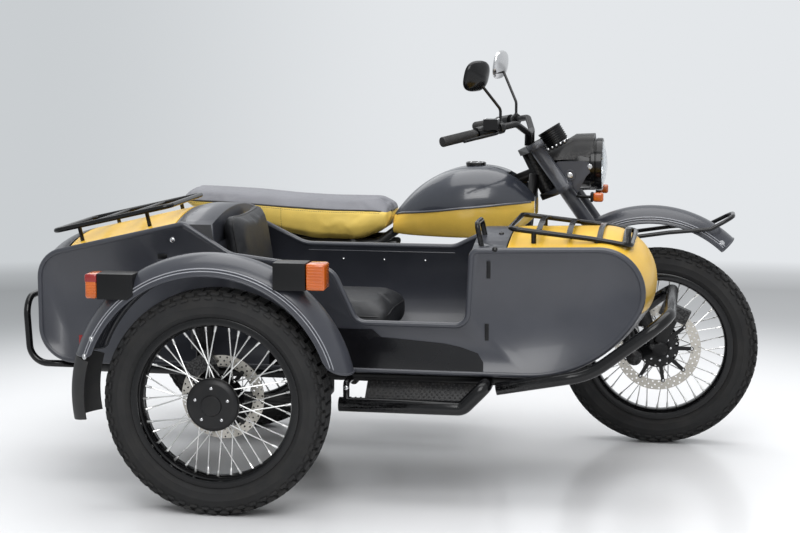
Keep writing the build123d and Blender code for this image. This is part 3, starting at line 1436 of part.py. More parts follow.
def lamp_lenses():
    """Lenses seated on the lamp boxes' outer faces."""
    lenses = []
    for (x_low, x_high, z_low, z_high, face), depth in zip(lamp_boxes(), (lens_depth, rear_lens_depth)):
        x = x_high + seat_gap if face > 0 else x_low - seat_gap - depth
        lenses.append(box(x, x + depth, lamp_box_y, lamp_box_y + lamp_box_width, z_low, z_high))
    return group(lenses)


nodes = {
    "frame": main_frame(), "rear_suspension": rear_suspension(), "rear_fender": rear_fender(),
    "tail_lamp": tail_lamp(), "engine_case": group([crankcase(), intake()]), "cylinders": cylinders(),
    "exhaust": exhaust(), "fuel_tank": fuel_tank(), "bench_seat": bench_seat(),
    "side_covers": side_covers(),
    "fork": fork(), "front_suspension": front_suspension(), "headlight": headlight(),
    "headlight_glass": headlight_glass(), "front_indicators": front_indicators(), "handlebar": handlebar(),
    "grips": grips(), "hand_controls": hand_controls(), "mirrors": mirrors(), "front_fender": front_fender(),
    "fender_loop": fender_loop(),
    "sidecar_body": sidecar_body(), "sidecar_nose": sidecar_nose(), "body_rails": body_rails(),
    "sidecar_cushion": sidecar_cushion(), "sidecar_backrest": sidecar_backrest(),
    "sidecar_frame": sidecar_frame(), "sidecar_suspension": sidecar_suspension(), "guard_bars": guard_bars(),
    "sidecar_fender": sidecar_fender(), "mudflap": mudflap(),
    "lamp_housings": lamp_housings(), "lamp_lenses": lamp_lenses(),
    "trunk_lid": trunk_lid(), "lid_rack": lid_rack(),
    "front_tyre": tyre(front_centre), "front_wheel": spoked_wheel(front_centre, 0),
    "front_disc": brake_disc(front_centre, front_disc_radius, -1),
    "rear_tyre": tyre(rear_centre), "rear_wheel": spoked_wheel(rear_centre, 0),
    "rear_disc": brake_disc(rear_centre, rear_disc_radius, 1),
    "sidecar_tyre": tyre(side_centre), "sidecar_wheel": spoked_wheel(side_centre, -1),
    "sidecar_disc": brake_disc(side_centre, rear_disc_radius, 1),
}

whole = Compound(children=[Compound(children=shape.solids()) for shape in nodes.values()]).bounding_box()
origin = Location((-(whole.min.X + whole.max.X) / 2, -(whole.min.Y + whole.max.Y) / 2, -whole.min.Z))

os.makedirs("parts", exist_ok=True)
for name, shape in nodes.items():
    export_step(origin * shape, f"parts/{name}.step")
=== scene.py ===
"""Dresses the sidecar motorcycle: finishes, wheels, padding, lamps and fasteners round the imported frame."""

import logging
import math
from collections.abc import Callable, Sequence
from dataclasses import dataclass
from enum import Enum

import bmesh
import bpy
from mathutils import Matrix, Vector
from mathutils.bvhtree import BVHTree


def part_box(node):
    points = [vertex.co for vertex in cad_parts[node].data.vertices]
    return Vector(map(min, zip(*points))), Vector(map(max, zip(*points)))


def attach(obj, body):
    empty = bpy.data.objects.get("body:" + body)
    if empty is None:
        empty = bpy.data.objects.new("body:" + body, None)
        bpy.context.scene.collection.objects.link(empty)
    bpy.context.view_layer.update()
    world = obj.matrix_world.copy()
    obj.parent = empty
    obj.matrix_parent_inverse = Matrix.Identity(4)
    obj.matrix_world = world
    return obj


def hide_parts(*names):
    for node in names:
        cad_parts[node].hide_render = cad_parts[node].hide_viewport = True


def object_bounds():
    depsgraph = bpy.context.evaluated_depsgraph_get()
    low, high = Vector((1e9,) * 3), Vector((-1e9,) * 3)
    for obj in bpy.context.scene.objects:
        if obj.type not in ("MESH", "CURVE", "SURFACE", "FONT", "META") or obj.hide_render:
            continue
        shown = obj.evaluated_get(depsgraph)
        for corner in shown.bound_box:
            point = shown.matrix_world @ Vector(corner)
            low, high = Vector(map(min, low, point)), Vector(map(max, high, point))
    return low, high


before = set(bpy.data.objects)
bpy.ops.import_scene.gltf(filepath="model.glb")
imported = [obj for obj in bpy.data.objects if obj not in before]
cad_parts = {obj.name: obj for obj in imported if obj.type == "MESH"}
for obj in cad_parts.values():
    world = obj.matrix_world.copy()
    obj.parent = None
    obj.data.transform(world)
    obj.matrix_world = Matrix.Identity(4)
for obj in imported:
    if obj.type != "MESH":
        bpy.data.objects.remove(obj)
CAD_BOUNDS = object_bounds()

LOG = logging.getLogger("sidecar_motorcycle")
MM = 0.001
TURN = math.tau
WHEELBASE = 1470.0
TRACK = 1142.0
WHEEL_LEAD = 197.0
TYRE_RADIUS = 342.0
CAMERA_PLACE = (1607.4, -6112.1, 1480.6)
UP = Vector((0, 0, 1))
Point = tuple[float, float, float]
Row = list[Vector]
Sockets = dict[str, bpy.types.NodeSocket]

tyre_low, tyre_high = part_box("front_tyre")
SHIFT = (tyre_low + tyre_high) / 2 - Vector((WHEELBASE, 0.0, TYRE_RADIUS)) * MM


def at(x: float, y: float, z: float) -> Vector:
    """A place given in the source's millimetres, as a point of the frame."""
    return Vector((x, y, z)) * MM + SHIFT


def in_source(place: Vector) -> Vector:
    """A point of the frame, in the source's millimetres."""
    return (place - SHIFT) / MM


def srgb(red: float, green: float, blue: float) -> tuple[float, float, float, float]:
    """A colour of three numbers up to 255, as a linear colour with alpha."""
    def line(part: float) -> float:
        """One part of the colour made linear."""
        share = part / 255
        return share / 12.92 if share <= 0.04045 else ((share + 0.055) / 1.055) ** 2.4
    return line(red), line(green), line(blue), 1.0


# Finishes


class Slot(Enum):
    """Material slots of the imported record."""

    GREY = "paint_grey"
    YELLOW = "paint_yellow"
    BLACK = "metal_black"
    ALLOY = "alloy"
    STEEL = "steel"
    TYRE = "tyre"
    RUBBER = "rubber"
    VINYL = "vinyl"
    PLASTIC = "plastic"
    GLASS = "glass"
    LENS = "lens"


class Grain(Enum):
    """Kinds of small relief that a surface can have."""

    SPRAYED = "orange_peel"
    CAST = "cast_grain"
    LEATHER = "leather_grain"
    BRUSHED = "brushed_grain"


class Wiring:
    """Short way to place and join the nodes of one tree."""

    def __init__(self, tree: bpy.types.NodeTree) -> None:
        """Keeps the tree that the nodes go into."""
        self.tree = tree

    def node(self, kind: str, **values: object) -> bpy.types.Node:
        """Adds a node and sets its plain properties.

        Args:
            kind: Blender's type name of the node.
            values: Properties by name.

        Returns:
            The new node.
        """
        made = self.tree.nodes.new(kind)
        for name, value in values.items():
            setattr(made, name, value)
        return made

    def feed(self, target: bpy.types.Node, **inputs: object) -> bpy.types.Node:
        """Sets or links inputs of a node; an underscore in a name stands for a space.

        Args:
            target: The node to feed.
            inputs: Values or output sockets by input name, or i0, i1 for a place.

        Returns:
            The same node.
        """
        for name, value in inputs.items():
            place = int(name[1:]) if name[0] == "i" and name[1:].isdigit() else name.replace("_", " ")
            socket = target.inputs[place]
            if isinstance(value, bpy.types.NodeSocket):
                self.tree.links.new(value, socket)
            else:
                socket.default_value = value
        return target

    def math(self, operation: str, *terms: object) -> bpy.types.NodeSocket:
        """Adds a math node on values or sockets and returns its output."""
        made = self.node("ShaderNodeMath", operation=operation)
        return self.feed(made, **{f"i{place}": term for place, term in enumerate(terms)}).outputs[0]

    def blend(self, share: object, first: object, second: object) -> bpy.types.NodeSocket:
        """Mixes two colours by a share and returns the mixed colour."""
        made = self.node("ShaderNodeMix", data_type="RGBA")
        return self.feed(made, i0=share, i6=first, i7=second).outputs[2]

    def ramp(self, value: object, low: float, high: float, out_low: float = 0.0,
             out_high: float = 1.0) -> bpy.types.NodeSocket:
        """Maps a value's range to another one, smoothly, and returns the result."""
        made = self.node("ShaderNodeMapRange", interpolation_type="SMOOTHSTEP")
        return self.feed(made, i0=value, i1=low, i2=high, i3=out_low, i4=out_high).outputs[0]


    def vector(self, operation: str, *terms: object) -> bpy.types.Node:
        """Adds a vector math node on values or sockets."""
        made = self.node("ShaderNodeVectorMath", operation=operation)
        return self.feed(made, **{f"i{place}": term for place, term in enumerate(terms)})

    def noise(self, place: bpy.types.NodeSocket, scale: object, detail: float) -> bpy.types.Node:
        """Adds a noise of a given scale and detail."""
        return self.feed(self.node("ShaderNodeTexNoise"), Vector=place, Scale=scale, Detail=detail)

    def effect(self, tree: bpy.types.ShaderNodeTree, place: bpy.types.NodeSocket, **inputs: float) -> Sockets:
        """Adds one of the shared effects and returns its outputs."""
        return self.feed(self.node("ShaderNodeGroup", node_tree=tree), Vector=place, **inputs).outputs


class Effects:
    """Node groups that several finishes share; each puts out masks or heights only."""

    made: dict[str, bpy.types.ShaderNodeTree] = {}

    @classmethod
    def group(cls, name: str, inputs: dict[str, float], outputs: Sequence[str],
              build: Callable[[Wiring, Sockets, bpy.types.Node], None]) -> bpy.types.ShaderNodeTree:
        """Makes a group once and returns it afterwards.

        Args:
            name: The group's name.
            inputs: Its number inputs with their usual values; Vector comes first.
            outputs: Names of its number outputs.
            build: Fills the group between its inputs and its output node.

        Returns:
            The node group.
        """
        if name not in cls.made:
            tree = bpy.data.node_groups.new(name, "ShaderNodeTree")
            tree.interface.new_socket(name="Vector", in_out="INPUT", socket_type="NodeSocketVector")
            for label, value in inputs.items():
                socket = tree.interface.new_socket(name=label, in_out="INPUT", socket_type="NodeSocketFloat")
                socket.default_value = value
            for label in outputs:
                tree.interface.new_socket(name=label, in_out="OUTPUT", socket_type="NodeSocketFloat")
            wiring = Wiring(tree)
            build(wiring, wiring.node("NodeGroupInput").outputs, wiring.node("NodeGroupOutput"))
            cls.made[name] = tree
        return cls.made[name]

    @classmethod
    def patches(cls) -> bpy.types.ShaderNodeTree:
        """Slow and fine unevenness of a surface: Patch, Speck and Height."""
        def build(w: Wiring, given: Sockets, out: bpy.types.Node) -> None:
            """Joins two noises of different size."""
            wide = w.noise(given["Vector"], given["Wide"], 3.0)
            fine = w.noise(given["Vector"], given["Fine"], 2.0)
            w.feed(out, Patch=w.ramp(wide.outputs[0], 0.3, 0.7), Speck=w.ramp(fine.outputs[0], 0.35, 0.65),
                   Height=fine.outputs[0])
        return cls.group("surface_patches", {"Wide": 9.0, "Fine": 900.0}, ("Patch", "Speck", "Height"), build)

    @classmethod
    def leather(cls) -> bpy.types.ShaderNodeTree:
        """Pebbled skin of vinyl: Height and the Crease mask between the pebbles."""
        def build(w: Wiring, given: Sockets, out: bpy.types.Node) -> None:
            """Rounds the cells of a distorted cell pattern."""
            bend = w.noise(given["Vector"], w.math("MULTIPLY", given["Cells"], 0.6), 1.0)
            shift = w.feed(w.vector("SCALE", bend.outputs["Color"]), Scale=0.002)
            place = w.vector("ADD", given["Vector"], shift.outputs[0]).outputs[0]
            cells = w.feed(w.node("ShaderNodeTexVoronoi", feature="DISTANCE_TO_EDGE"), Vector=place,
                           Scale=given["Cells"])
            rounded = w.ramp(cells.outputs["Distance"], 0.0, 0.35)
            w.feed(out, Height=rounded, Crease=w.math("SUBTRACT", 1.0, rounded))
        return cls.group("vinyl_grain", {"Cells": 420.0}, ("Height", "Crease"), build)

    @classmethod
    def brushed(cls) -> bpy.types.ShaderNodeTree:
        """Fine turned lines round the Y axis of a wheel: Height and Streak."""
        def build(w: Wiring, given: Sockets, out: bpy.types.Node) -> None:
            """Stretches a noise along the turning direction."""
            parts = w.feed(w.node("ShaderNodeSeparateXYZ"), i0=given["Vector"])
            reach = w.math("SQRT", w.math("ADD", w.math("POWER", parts.outputs[0], 2.0),
                                          w.math("POWER", parts.outputs[2], 2.0)))
            lines = w.feed(w.node("ShaderNodeTexNoise", noise_dimensions="1D"), W=reach, Scale=given["Lines"],
                           Detail=3.0)
            w.feed(out, Height=lines.outputs[0], Streak=w.ramp(lines.outputs[0], 0.35, 0.65))
        return cls.group("turned_lines", {"Lines": 900.0}, ("Height", "Streak"), build)

    @classmethod
    def dust(cls) -> bpy.types.ShaderNodeTree:
        """Thin dust that settles on what faces up: Mask."""
        def build(w: Wiring, given: Sockets, out: bpy.types.Node) -> None:
            """Breaks an upward mask with noise."""
            turned = w.feed(w.node("ShaderNodeSeparateXYZ"), i0=w.node("ShaderNodeNewGeometry").outputs["Normal"])
            noise = w.noise(given["Vector"], 22.0, 4.0)
            upward = w.ramp(turned.outputs[2], -0.6, 1.0, 0.3, 1.0)
            broken = w.math("MULTIPLY", upward, w.ramp(noise.outputs[0], 0.35, 0.75))
            w.feed(out, Mask=w.math("MULTIPLY", broken, given["Amount"]))
        return cls.group("settled_dust", {"Amount": 0.2}, ("Mask",), build)

    @classmethod
    def edges(cls) -> bpy.types.ShaderNodeTree:
        """Rubbed outer edges: Mask."""
        def build(w: Wiring, given: Sockets, out: bpy.types.Node) -> None:
            """Takes the sharp outer edges and breaks them with noise."""
            point = w.ramp(w.node("ShaderNodeNewGeometry").outputs["Pointiness"], 0.53, 0.62)
            noise = w.noise(given["Vector"], 160.0, 3.0)
            broken = w.math("MULTIPLY", point, w.ramp(noise.outputs[0], 0.4, 0.62))
            w.feed(out, Mask=w.math("MULTIPLY", broken, given["Amount"]))
        return cls.group("rubbed_edges", {"Amount": 0.3}, ("Mask",), build)


def new_material(name: str) -> tuple[bpy.types.Material, Wiring, bpy.types.Node, bpy.types.NodeSocket]:
    """A material with its wiring, its shader and the object's own coordinates."""
    made = bpy.data.materials.new(name)
    made.use_nodes = True
    w = Wiring(made.node_tree)
    return made, w, made.node_tree.nodes["Principled BSDF"], w.node("ShaderNodeTexCoord").outputs["Object"]


DUST_COLOUR = srgb(128, 120, 108)


@dataclass(frozen=True)
class Finish:
    """One surface finish: its colour, gloss, small relief and wear."""

    name: str
    slot: Slot
    colour: tuple[float, float, float]
    deep: tuple[float, float, float]
    rough: float = 0.4
    metal: float = 0.0
    coat: float = 0.0
    shine: float = 0.5
    grain: Grain = Grain.SPRAYED
    wide: float = 9.0
    fine: float = 900.0
    relief: float = 0.00002
    spread: float = 0.06
    dust: float = 0.0
    wear: float = 0.0
    worn: tuple[float, float, float] = (150.0, 150.0, 150.0)
    seam: tuple[float, float, float] | None = None

    def material(self) -> bpy.types.Material:
        """The finish as a Blender material, built once."""
        return bpy.data.materials.get(self.name) or self.built()

    def built(self) -> bpy.types.Material:
        """Builds the material from its colour, grain, seam, wear and dust."""
        made, w, shader, place = new_material(self.name)
        patches = w.effect(Effects.patches(), place, Wide=self.wide, Fine=self.fine)
        shade = w.math("MULTIPLY_ADD", patches["Speck"], 0.35, w.math("MULTIPLY", patches["Patch"], 0.65))
        colour = w.blend(shade, srgb(*self.deep), srgb(*self.colour))
        height = patches["Height"]
        if self.grain is Grain.LEATHER:
            skin = w.effect(Effects.leather(), place)
            height = skin["Height"]
            colour = w.blend(w.math("MULTIPLY", skin["Crease"], 0.35), colour, srgb(*self.deep))
        elif self.grain is Grain.BRUSHED:
            lines = w.effect(Effects.brushed(), place)
            height = lines["Height"]
            colour = w.blend(w.math("MULTIPLY", lines["Streak"], 0.5), colour, srgb(*self.deep))
        rough = w.math("MULTIPLY_ADD", patches["Patch"], self.spread, self.rough - self.spread / 2)
        if self.seam:
            side = w.node("ShaderNodeAttribute", attribute_name="panel").outputs["Fac"]
            mask = w.ramp(side, -0.0006, 0.0006)
            second = w.blend(shade, srgb(*[part * 0.9 for part in self.seam]), srgb(*self.seam))
            colour = w.blend(mask, second, colour)
        if self.wear:
            rub = w.effect(Effects.edges(), place, Amount=self.wear)
            colour = w.blend(rub["Mask"], colour, srgb(*self.worn))
        if self.dust:
            grey = w.effect(Effects.dust(), place, Amount=self.dust)
            colour = w.blend(grey["Mask"], colour, DUST_COLOUR)
            rough = w.math("ADD", rough, w.math("MULTIPLY", grey["Mask"], 0.3))
        bump = w.feed(w.node("ShaderNodeBump"), Strength=1.0, Distance=self.relief, Height=height)
        w.feed(shader, Base_Color=colour, Roughness=rough, Metallic=self.metal, Normal=bump.outputs[0],
               Specular_IOR_Level=self.shine, Coat_Weight=self.coat, Coat_Roughness=0.06)
        return made


class ClearGlass(Finish):
    """Clear lamp glass, with a plain transmission and a slight tint."""

    def built(self) -> bpy.types.Material:
        """Builds the material from its tint and its smoothness."""
        made, w, shader, place = new_material(self.name)
        patches = w.effect(Effects.patches(), place, Wide=self.wide, Fine=self.fine)
        tint = w.blend(patches["Patch"], srgb(*self.deep), srgb(*self.colour))
        rough = w.math("MULTIPLY_ADD", patches["Speck"], self.spread, self.rough)
        w.feed(shader, Base_Color=tint, Roughness=rough, Transmission_Weight=1.0, IOR=1.3)
        return made


PAINT_GREY = Finish("dark_grey_paint", Slot.GREY, (57, 59, 66), (51, 53, 60), rough=0.3, coat=0.15, relief=0.000012,
                    spread=0.05, dust=0.02)
# Near-black paint for painted shade: the strip stands in for the sidecar's lower side falling dark.
SHADE_STRIP_BLACK = Finish("belly_paint", Slot.GREY, (15, 15, 18), (11, 11, 14), rough=0.26, coat=0.1, shine=0.3,
                     relief=0.000012)
# Pale grey for painted highlight: thin tubes along the mudguards' raised lines stand in for their edges catching light.
HIGHLIGHT_LINE_GREY = Finish("raised_line_grey", Slot.GREY, (150, 152, 158), (138, 140, 146), rough=0.3, relief=0.000006)
PAINT_YELLOW = Finish("yellow_paint", Slot.YELLOW, (222, 180, 62), (212, 168, 50), rough=0.36, coat=0.08, shine=0.3,
                      relief=0.00001)
TANK_PAINT = Finish("tank_paint", Slot.YELLOW, (56, 59, 67), (50, 53, 61), rough=0.24, coat=0.5, relief=0.000006,
                    seam=(242, 202, 92))
# The lip is pressed in the tank's grey paint; its lighter grey is painted highlight along it.
TANK_LIP_HIGHLIGHT = Finish("tank_trim_paint", Slot.GREY, (88, 90, 96), (78, 80, 86), rough=0.2, coat=0.9, relief=0.000006)
GLOSS_BLACK = Finish("gloss_black_tube", Slot.BLACK, (9, 9, 11), (7, 7, 8), rough=0.2, coat=0.1, shine=0.3,
                     relief=0.00001, wear=0.08)
SATIN_BLACK = Finish("satin_black_metal", Slot.BLACK, (15, 15, 17), (11, 11, 13), rough=0.42, shine=0.35,
                     relief=0.00003, wear=0.15, dust=0.03)
CAST_ALLOY = Finish("cast_alloy", Slot.ALLOY, (150, 151, 152), (122, 122, 124), rough=0.42, metal=1.0,
                    grain=Grain.CAST, fine=1400.0, relief=0.00006, spread=0.14, wear=0.3, worn=(205, 205, 205))
ENGINE_BLACK = Finish("engine_black", Slot.ALLOY, (44, 45, 47), (33, 34, 36), rough=0.5, metal=0.3, grain=Grain.CAST,
                      fine=1400.0, relief=0.00006, wear=0.4, worn=(150, 150, 150), dust=0.06)
BRIGHT_STEEL = Finish("bright_steel", Slot.STEEL, (214, 214, 214), (186, 186, 188), rough=0.2, metal=1.0, spread=0.1)
SPOKE_STEEL = Finish("spoke_steel", Slot.STEEL, (232, 232, 230), (205, 205, 204), rough=0.3, metal=0.85, spread=0.1)
DISC_STEEL = Finish("disc_steel", Slot.STEEL, (206, 201, 192), (176, 172, 164), rough=0.34, metal=0.9,
                    grain=Grain.BRUSHED, relief=0.00002, spread=0.1)
EXHAUST_BLACK = Finish("exhaust_black", Slot.STEEL, (40, 39, 38), (30, 29, 28), rough=0.52, metal=0.2, dust=0.08)
TYRE_RUBBER = Finish("tyre_rubber", Slot.TYRE, (21, 21, 22), (16, 16, 17), rough=0.78, fine=700.0, relief=0.00008,
                     spread=0.12, dust=0.04)
SOFT_RUBBER = Finish("soft_rubber", Slot.RUBBER, (34, 34, 35), (27, 27, 28), rough=0.62, relief=0.00004, dust=0.06)
VINYL_SEAT = Finish("seat_vinyl", Slot.VINYL, (124, 125, 131), (104, 105, 111), rough=0.5, grain=Grain.LEATHER,
                    relief=0.00022, spread=0.1, seam=(250, 216, 108))
VINYL_BLACK = Finish("black_vinyl", Slot.VINYL, (44, 45, 48), (32, 33, 35), rough=0.46, shine=0.35,
                     grain=Grain.LEATHER, relief=0.00022, spread=0.12)
PIPING = Finish("seat_piping", Slot.VINYL, (30, 30, 31), (22, 22, 23), rough=0.4, fine=1200.0, relief=0.00004)
PLASTIC_BLACK = Finish("moulded_black", Slot.PLASTIC, (8, 8, 10), (6, 6, 7), rough=0.34, shine=0.3, fine=1600.0,
                       relief=0.00001)
PLATE_WHITE = Finish("blank_plate", Slot.PLASTIC, (214, 214, 208), (200, 200, 196), rough=0.4)
LENS_AMBER = Finish("amber_lens", Slot.LENS, (206, 104, 24), (176, 78, 12), rough=0.16, coat=0.6, relief=0.000008)
LENS_RED = Finish("red_lens", Slot.LENS, (150, 26, 24), (112, 14, 14), rough=0.16, coat=0.6, relief=0.000008)
MIRROR = Finish("mirror_face", Slot.GLASS, (235, 238, 240), (225, 228, 230), rough=0.04, metal=1.0, relief=0.0)
CLEAR_GLASS = ClearGlass("lamp_glass", Slot.GLASS, (252, 253, 254), (244, 248, 250), rough=0.02, spread=0.02,
                         wide=14.0, fine=300.0)


# Mesh making


def eased(share: float, power: float) -> float:
    """A signed share raised to a power, which squares off a round outline."""
    return math.copysign(abs(share) ** power, share)


def linked(name: str, data: bpy.types.ID) -> bpy.types.Object:
    """A new object that is in the scene."""
    made = bpy.data.objects.new(name, data)
    bpy.context.scene.collection.objects.link(made)
    return made


def shaded(mesh: bpy.types.Mesh, smooth: float) -> bpy.types.Mesh:
    """Shades a mesh smooth besides edges sharper than this many degrees, and returns it."""
    mesh.shade_smooth()
    mesh.set_sharp_from_angle(angle=math.radians(smooth))
    return mesh


def plain_mesh(piece: bpy.types.Object) -> bpy.types.Mesh:
    """What an object's modifiers make of it, as a mesh of its own."""
    bpy.context.view_layer.update()
    return bpy.data.meshes.new_from_object(piece.evaluated_get(bpy.context.evaluated_depsgraph_get()))


def surface(mesh: bpy.types.Mesh) -> BVHTree:
    """The faces of a mesh, for rays to meet."""
    return BVHTree.FromPolygons([v.co for v in mesh.vertices], [tuple(p.vertices) for p in mesh.polygons])


def between(table: Sequence[tuple[float, float]], x: float) -> float:
    """Value of a table of (place, value) at a place, straight between its rows."""
    if x <= table[0][0]:
        return table[0][1]
    for (x0, y0), (x1, y1) in zip(table, table[1:]):
        if x <= x1:
            share = (x - x0) / (x1 - x0)
            return y0 + (y1 - y0) * share
    return table[-1][1]


def rounded(points: Sequence[Vector], bends: Sequence[float] | float, steps: int = 6, closed: bool = False) -> Row:
    """Straight runs with rounded corners.

    Args:
        points: Corners of the route, in metres.
        bends: Corner radius, or one for each inner corner, in metres.
        steps: Runs in each bend.
        closed: True if the last corner leads back to the first.

    Returns:
        Points of the rounded route.
    """
    count = len(points)
    inner = range(count) if closed else range(1, count - 1)
    radii = dict(zip(inner, bends if isinstance(bends, Sequence) else [bends] * len(inner)))
    made: Row = [] if closed else [points[0].copy()]
    for i in inner:
        here = points[i]
        back, ahead = (points[i - 1] - here).normalized(), (points[(i + 1) % count] - here).normalized()
        half = back.angle(ahead) / 2
        if radii[i] <= 0 or half > math.pi / 2 - 1e-4:
            made.append(here.copy())
            continue
        reach = radii[i] / math.tan(half)
        centre = here + (back + ahead).normalized() * (radii[i] / math.sin(half))
        start, end = here + back * reach - centre, here + ahead * reach - centre
        turn = start.angle(end)
        for k in range(steps + 1):
            share = k / steps
            made.append(centre + (start * math.sin((1 - share) * turn) + end * math.sin(share * turn)) / math.sin(turn))
    if not closed:
        made.append(points[-1].copy())
    return made


class Form:
    """A mesh in the making: its points and its faces."""

    def __init__(self) -> None:
        """Starts with nothing."""
        self.points: Row = []
        self.faces: list[tuple[int, ...]] = []

    def grid(self, rows: Sequence[Row], ring: bool = False, loop: bool = False) -> "Form":
        """Adds a surface through rows of points.

        Args:
            rows: Rows with equal numbers of points.
            ring: True if each row closes on itself.
            loop: True if the last row joins the first.

        Returns:
            This form.
        """
        base, wide, tall = len(self.points), len(rows[0]), len(rows)
        for row in rows:
            self.points.extend(row)
        for r in range(tall if loop else tall - 1):
            for c in range(wide if ring else wide - 1):
                a, b = base + r * wide, base + (r + 1) % tall * wide
                self.faces.append((a + c, a + (c + 1) % wide, b + (c + 1) % wide, b + c))
        return self

    def cap(self, row: Row) -> "Form":
        """Closes a ring with one flat face on points of its own; merging joins them."""
        base = len(self.points)
        self.points.extend(row)
        self.faces.append(tuple(range(base, base + len(row))))
        return self

    def tube(self, path: Row, radius: float | Sequence[float], sides: int = 14, closed: bool = False) -> "Form":
        """Adds a round tube along a path.

        Args:
            path: Points of the middle line.
            radius: One radius, or one for each point.
            sides: Faces round the tube.
            closed: True if the path closes on itself.

        Returns:
            This form.
        """
        kept = [p for i, p in enumerate(path) if i == 0 or (p - path[i - 1]).length > 1e-6]
        radii = list(radius) if isinstance(radius, Sequence) else [radius] * len(kept)
        count = len(kept)
        rows: list[Row] = []
        side: Vector | None = None
        for i, p in enumerate(kept):
            before = kept[i - 1] if i or closed else p
            after = kept[(i + 1) % count] if i < count - 1 or closed else p
            along = (after - before).normalized()
            if side is None:
                side = along.orthogonal().normalized()
            side = (side - along * side.dot(along)).normalized()
            up = along.cross(side)
            rows.append([p + (side * math.cos(TURN * k / sides) + up * math.sin(TURN * k / sides)) * radii[i]
                         for k in range(sides)])
        if closed:
            shift = min(range(sides), key=lambda k: (rows[-1][k] - rows[0][0]).length)
            rows.append([rows[0][(k - shift) % sides].copy() for k in range(sides)])
        self.grid(rows, ring=True)
        return self if closed else self.cap(rows[0]).cap(rows[-1])

    def turned(self, profile: Sequence[tuple[float, float]], centre: Vector, axis: Vector = Vector((0, 1, 0)),
               steps: int = 64, closed: bool = True) -> "Form":
        """Adds a profile turned round an axis.

        Args:
            profile: Pairs of (radius, place along the axis), in metres.
            centre: Where the axis is at place zero.
            axis: Direction of the axis.
            steps: Number of steps round.
            closed: True if the profile's end joins its start.

        Returns:
            This form.
        """
        along = axis.normalized()
        side = along.orthogonal().normalized()
        up = along.cross(side)
        rows = []
        for k in range(steps):
            out = side * math.cos(TURN * k / steps) + up * math.sin(TURN * k / steps)
            rows.append([centre + along * y + out * r for r, y in profile])
        return self.grid(rows, ring=closed, loop=True)

    def take(self, mesh: bmesh.types.BMesh) -> "Form":
        """Adds the faces of a bmesh, and frees it."""
        base = len(self.points)
        mesh.verts.index_update()
        self.points.extend(v.co.copy() for v in mesh.verts)
        self.faces.extend(tuple(base + v.index for v in face.verts) for face in mesh.faces)
        mesh.free()
        return self

    def block(self, centre: Vector, size: Point, edge: float, segments: int = 3,
              turn: Matrix | None = None) -> "Form":
        """Adds a block with rounded edges.

        Args:
            centre: Its middle.
            size: Its three sides, in metres.
            edge: Radius of its edges.
            segments: Runs in each rounded edge.
            turn: Its rotation, if it is turned.

        Returns:
            This form.
        """
        mesh = bmesh.new()
        bmesh.ops.create_cube(mesh, size=1.0)
        bmesh.ops.scale(mesh, vec=Vector(size), verts=mesh.verts)
        bmesh.ops.bevel(mesh, geom=mesh.edges[:], offset=edge, segments=segments, profile=0.5, affect="EDGES")
        place = Matrix.Translation(centre) @ (turn.to_4x4() if turn else Matrix.Identity(4))
        bmesh.ops.transform(mesh, matrix=place, verts=mesh.verts)
        return self.take(mesh)

    def slab(self, outline: Row, offset: Vector, edge: float = 0.0) -> "Form":
        """Adds a plate of any outline, with its outer edges rounded.

        Args:
            outline: Corners of one face.
            offset: From that face to the other one.
            edge: Radius of the rim on both faces.

        Returns:
            This form.
        """
        mesh = bmesh.new()
        low = [mesh.verts.new(p) for p in outline]
        high = [mesh.verts.new(p + offset) for p in outline]
        faces = [mesh.faces.new(low), mesh.faces.new(high)]
        for i in range(len(low)):
            j = (i + 1) % len(low)
            mesh.faces.new((low[i], low[j], high[j], high[i]))
        if edge > 0:
            rims = [e for f in faces for e in f.edges]
            bmesh.ops.bevel(mesh, geom=rims, offset=edge, segments=2, profile=0.5, affect="EDGES")
        return self.take(mesh)

    def mesh(self, name: str, smooth: float = 35.0) -> bpy.types.Mesh:
        """The form as a welded Blender mesh whose edges over so many degrees stay sharp."""
        made = bpy.data.meshes.new(name)
        made.from_pydata([tuple(p) for p in self.points], [], self.faces)
        welded = bmesh.new()
        welded.from_mesh(made)
        bmesh.ops.remove_doubles(welded, verts=welded.verts, dist=2e-6)
        bmesh.ops.dissolve_degenerate(welded, edges=welded.edges, dist=1e-6)
        bmesh.ops.recalc_face_normals(welded, faces=welded.faces)
        welded.to_mesh(made)
        welded.free()
        return shaded(made, smooth)

    def piece(self, name: str, body: str, *finishes: Finish, replaces: Sequence[str] = (),
              smooth: float = 35.0) -> bpy.types.Object:
        """Makes the piece, dresses it and lets it ride on a body."""
        return place_piece(name, self.mesh(name, smooth), body, *finishes, replaces=replaces)


def place_piece(name: str, mesh: bpy.types.Mesh, body: str, *finishes: Finish,
                replaces: Sequence[str] = ()) -> bpy.types.Object:
    """Puts a finished mesh into the scene as a piece.

    Args:
        name: The piece's name.
        mesh: Its mesh, in the frame's place.
        body: The CAD body that it rides on.
        finishes: Its finishes, by the faces' numbers.
        replaces: CAD nodes that it stands for.

    Returns:
        The piece.
    """
    made = linked(name, mesh)
    for finish in finishes:
        mesh.materials.append(finish.material())
    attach(made, body)
    if replaces:
        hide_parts(*replaces)
    LOG.info("%s on %s, %d faces", name, body, len(mesh.polygons))
    return made


def node_mesh(node: str) -> bmesh.types.BMesh:
    """A merged copy of a CAD node's mesh, ready to be shaded smooth."""
    copy = bmesh.new()
    copy.from_mesh(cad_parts[node].data)
    bmesh.ops.remove_doubles(copy, verts=copy.verts, dist=1e-5)
    bmesh.ops.dissolve_degenerate(copy, edges=copy.edges, dist=1e-6)
    return copy


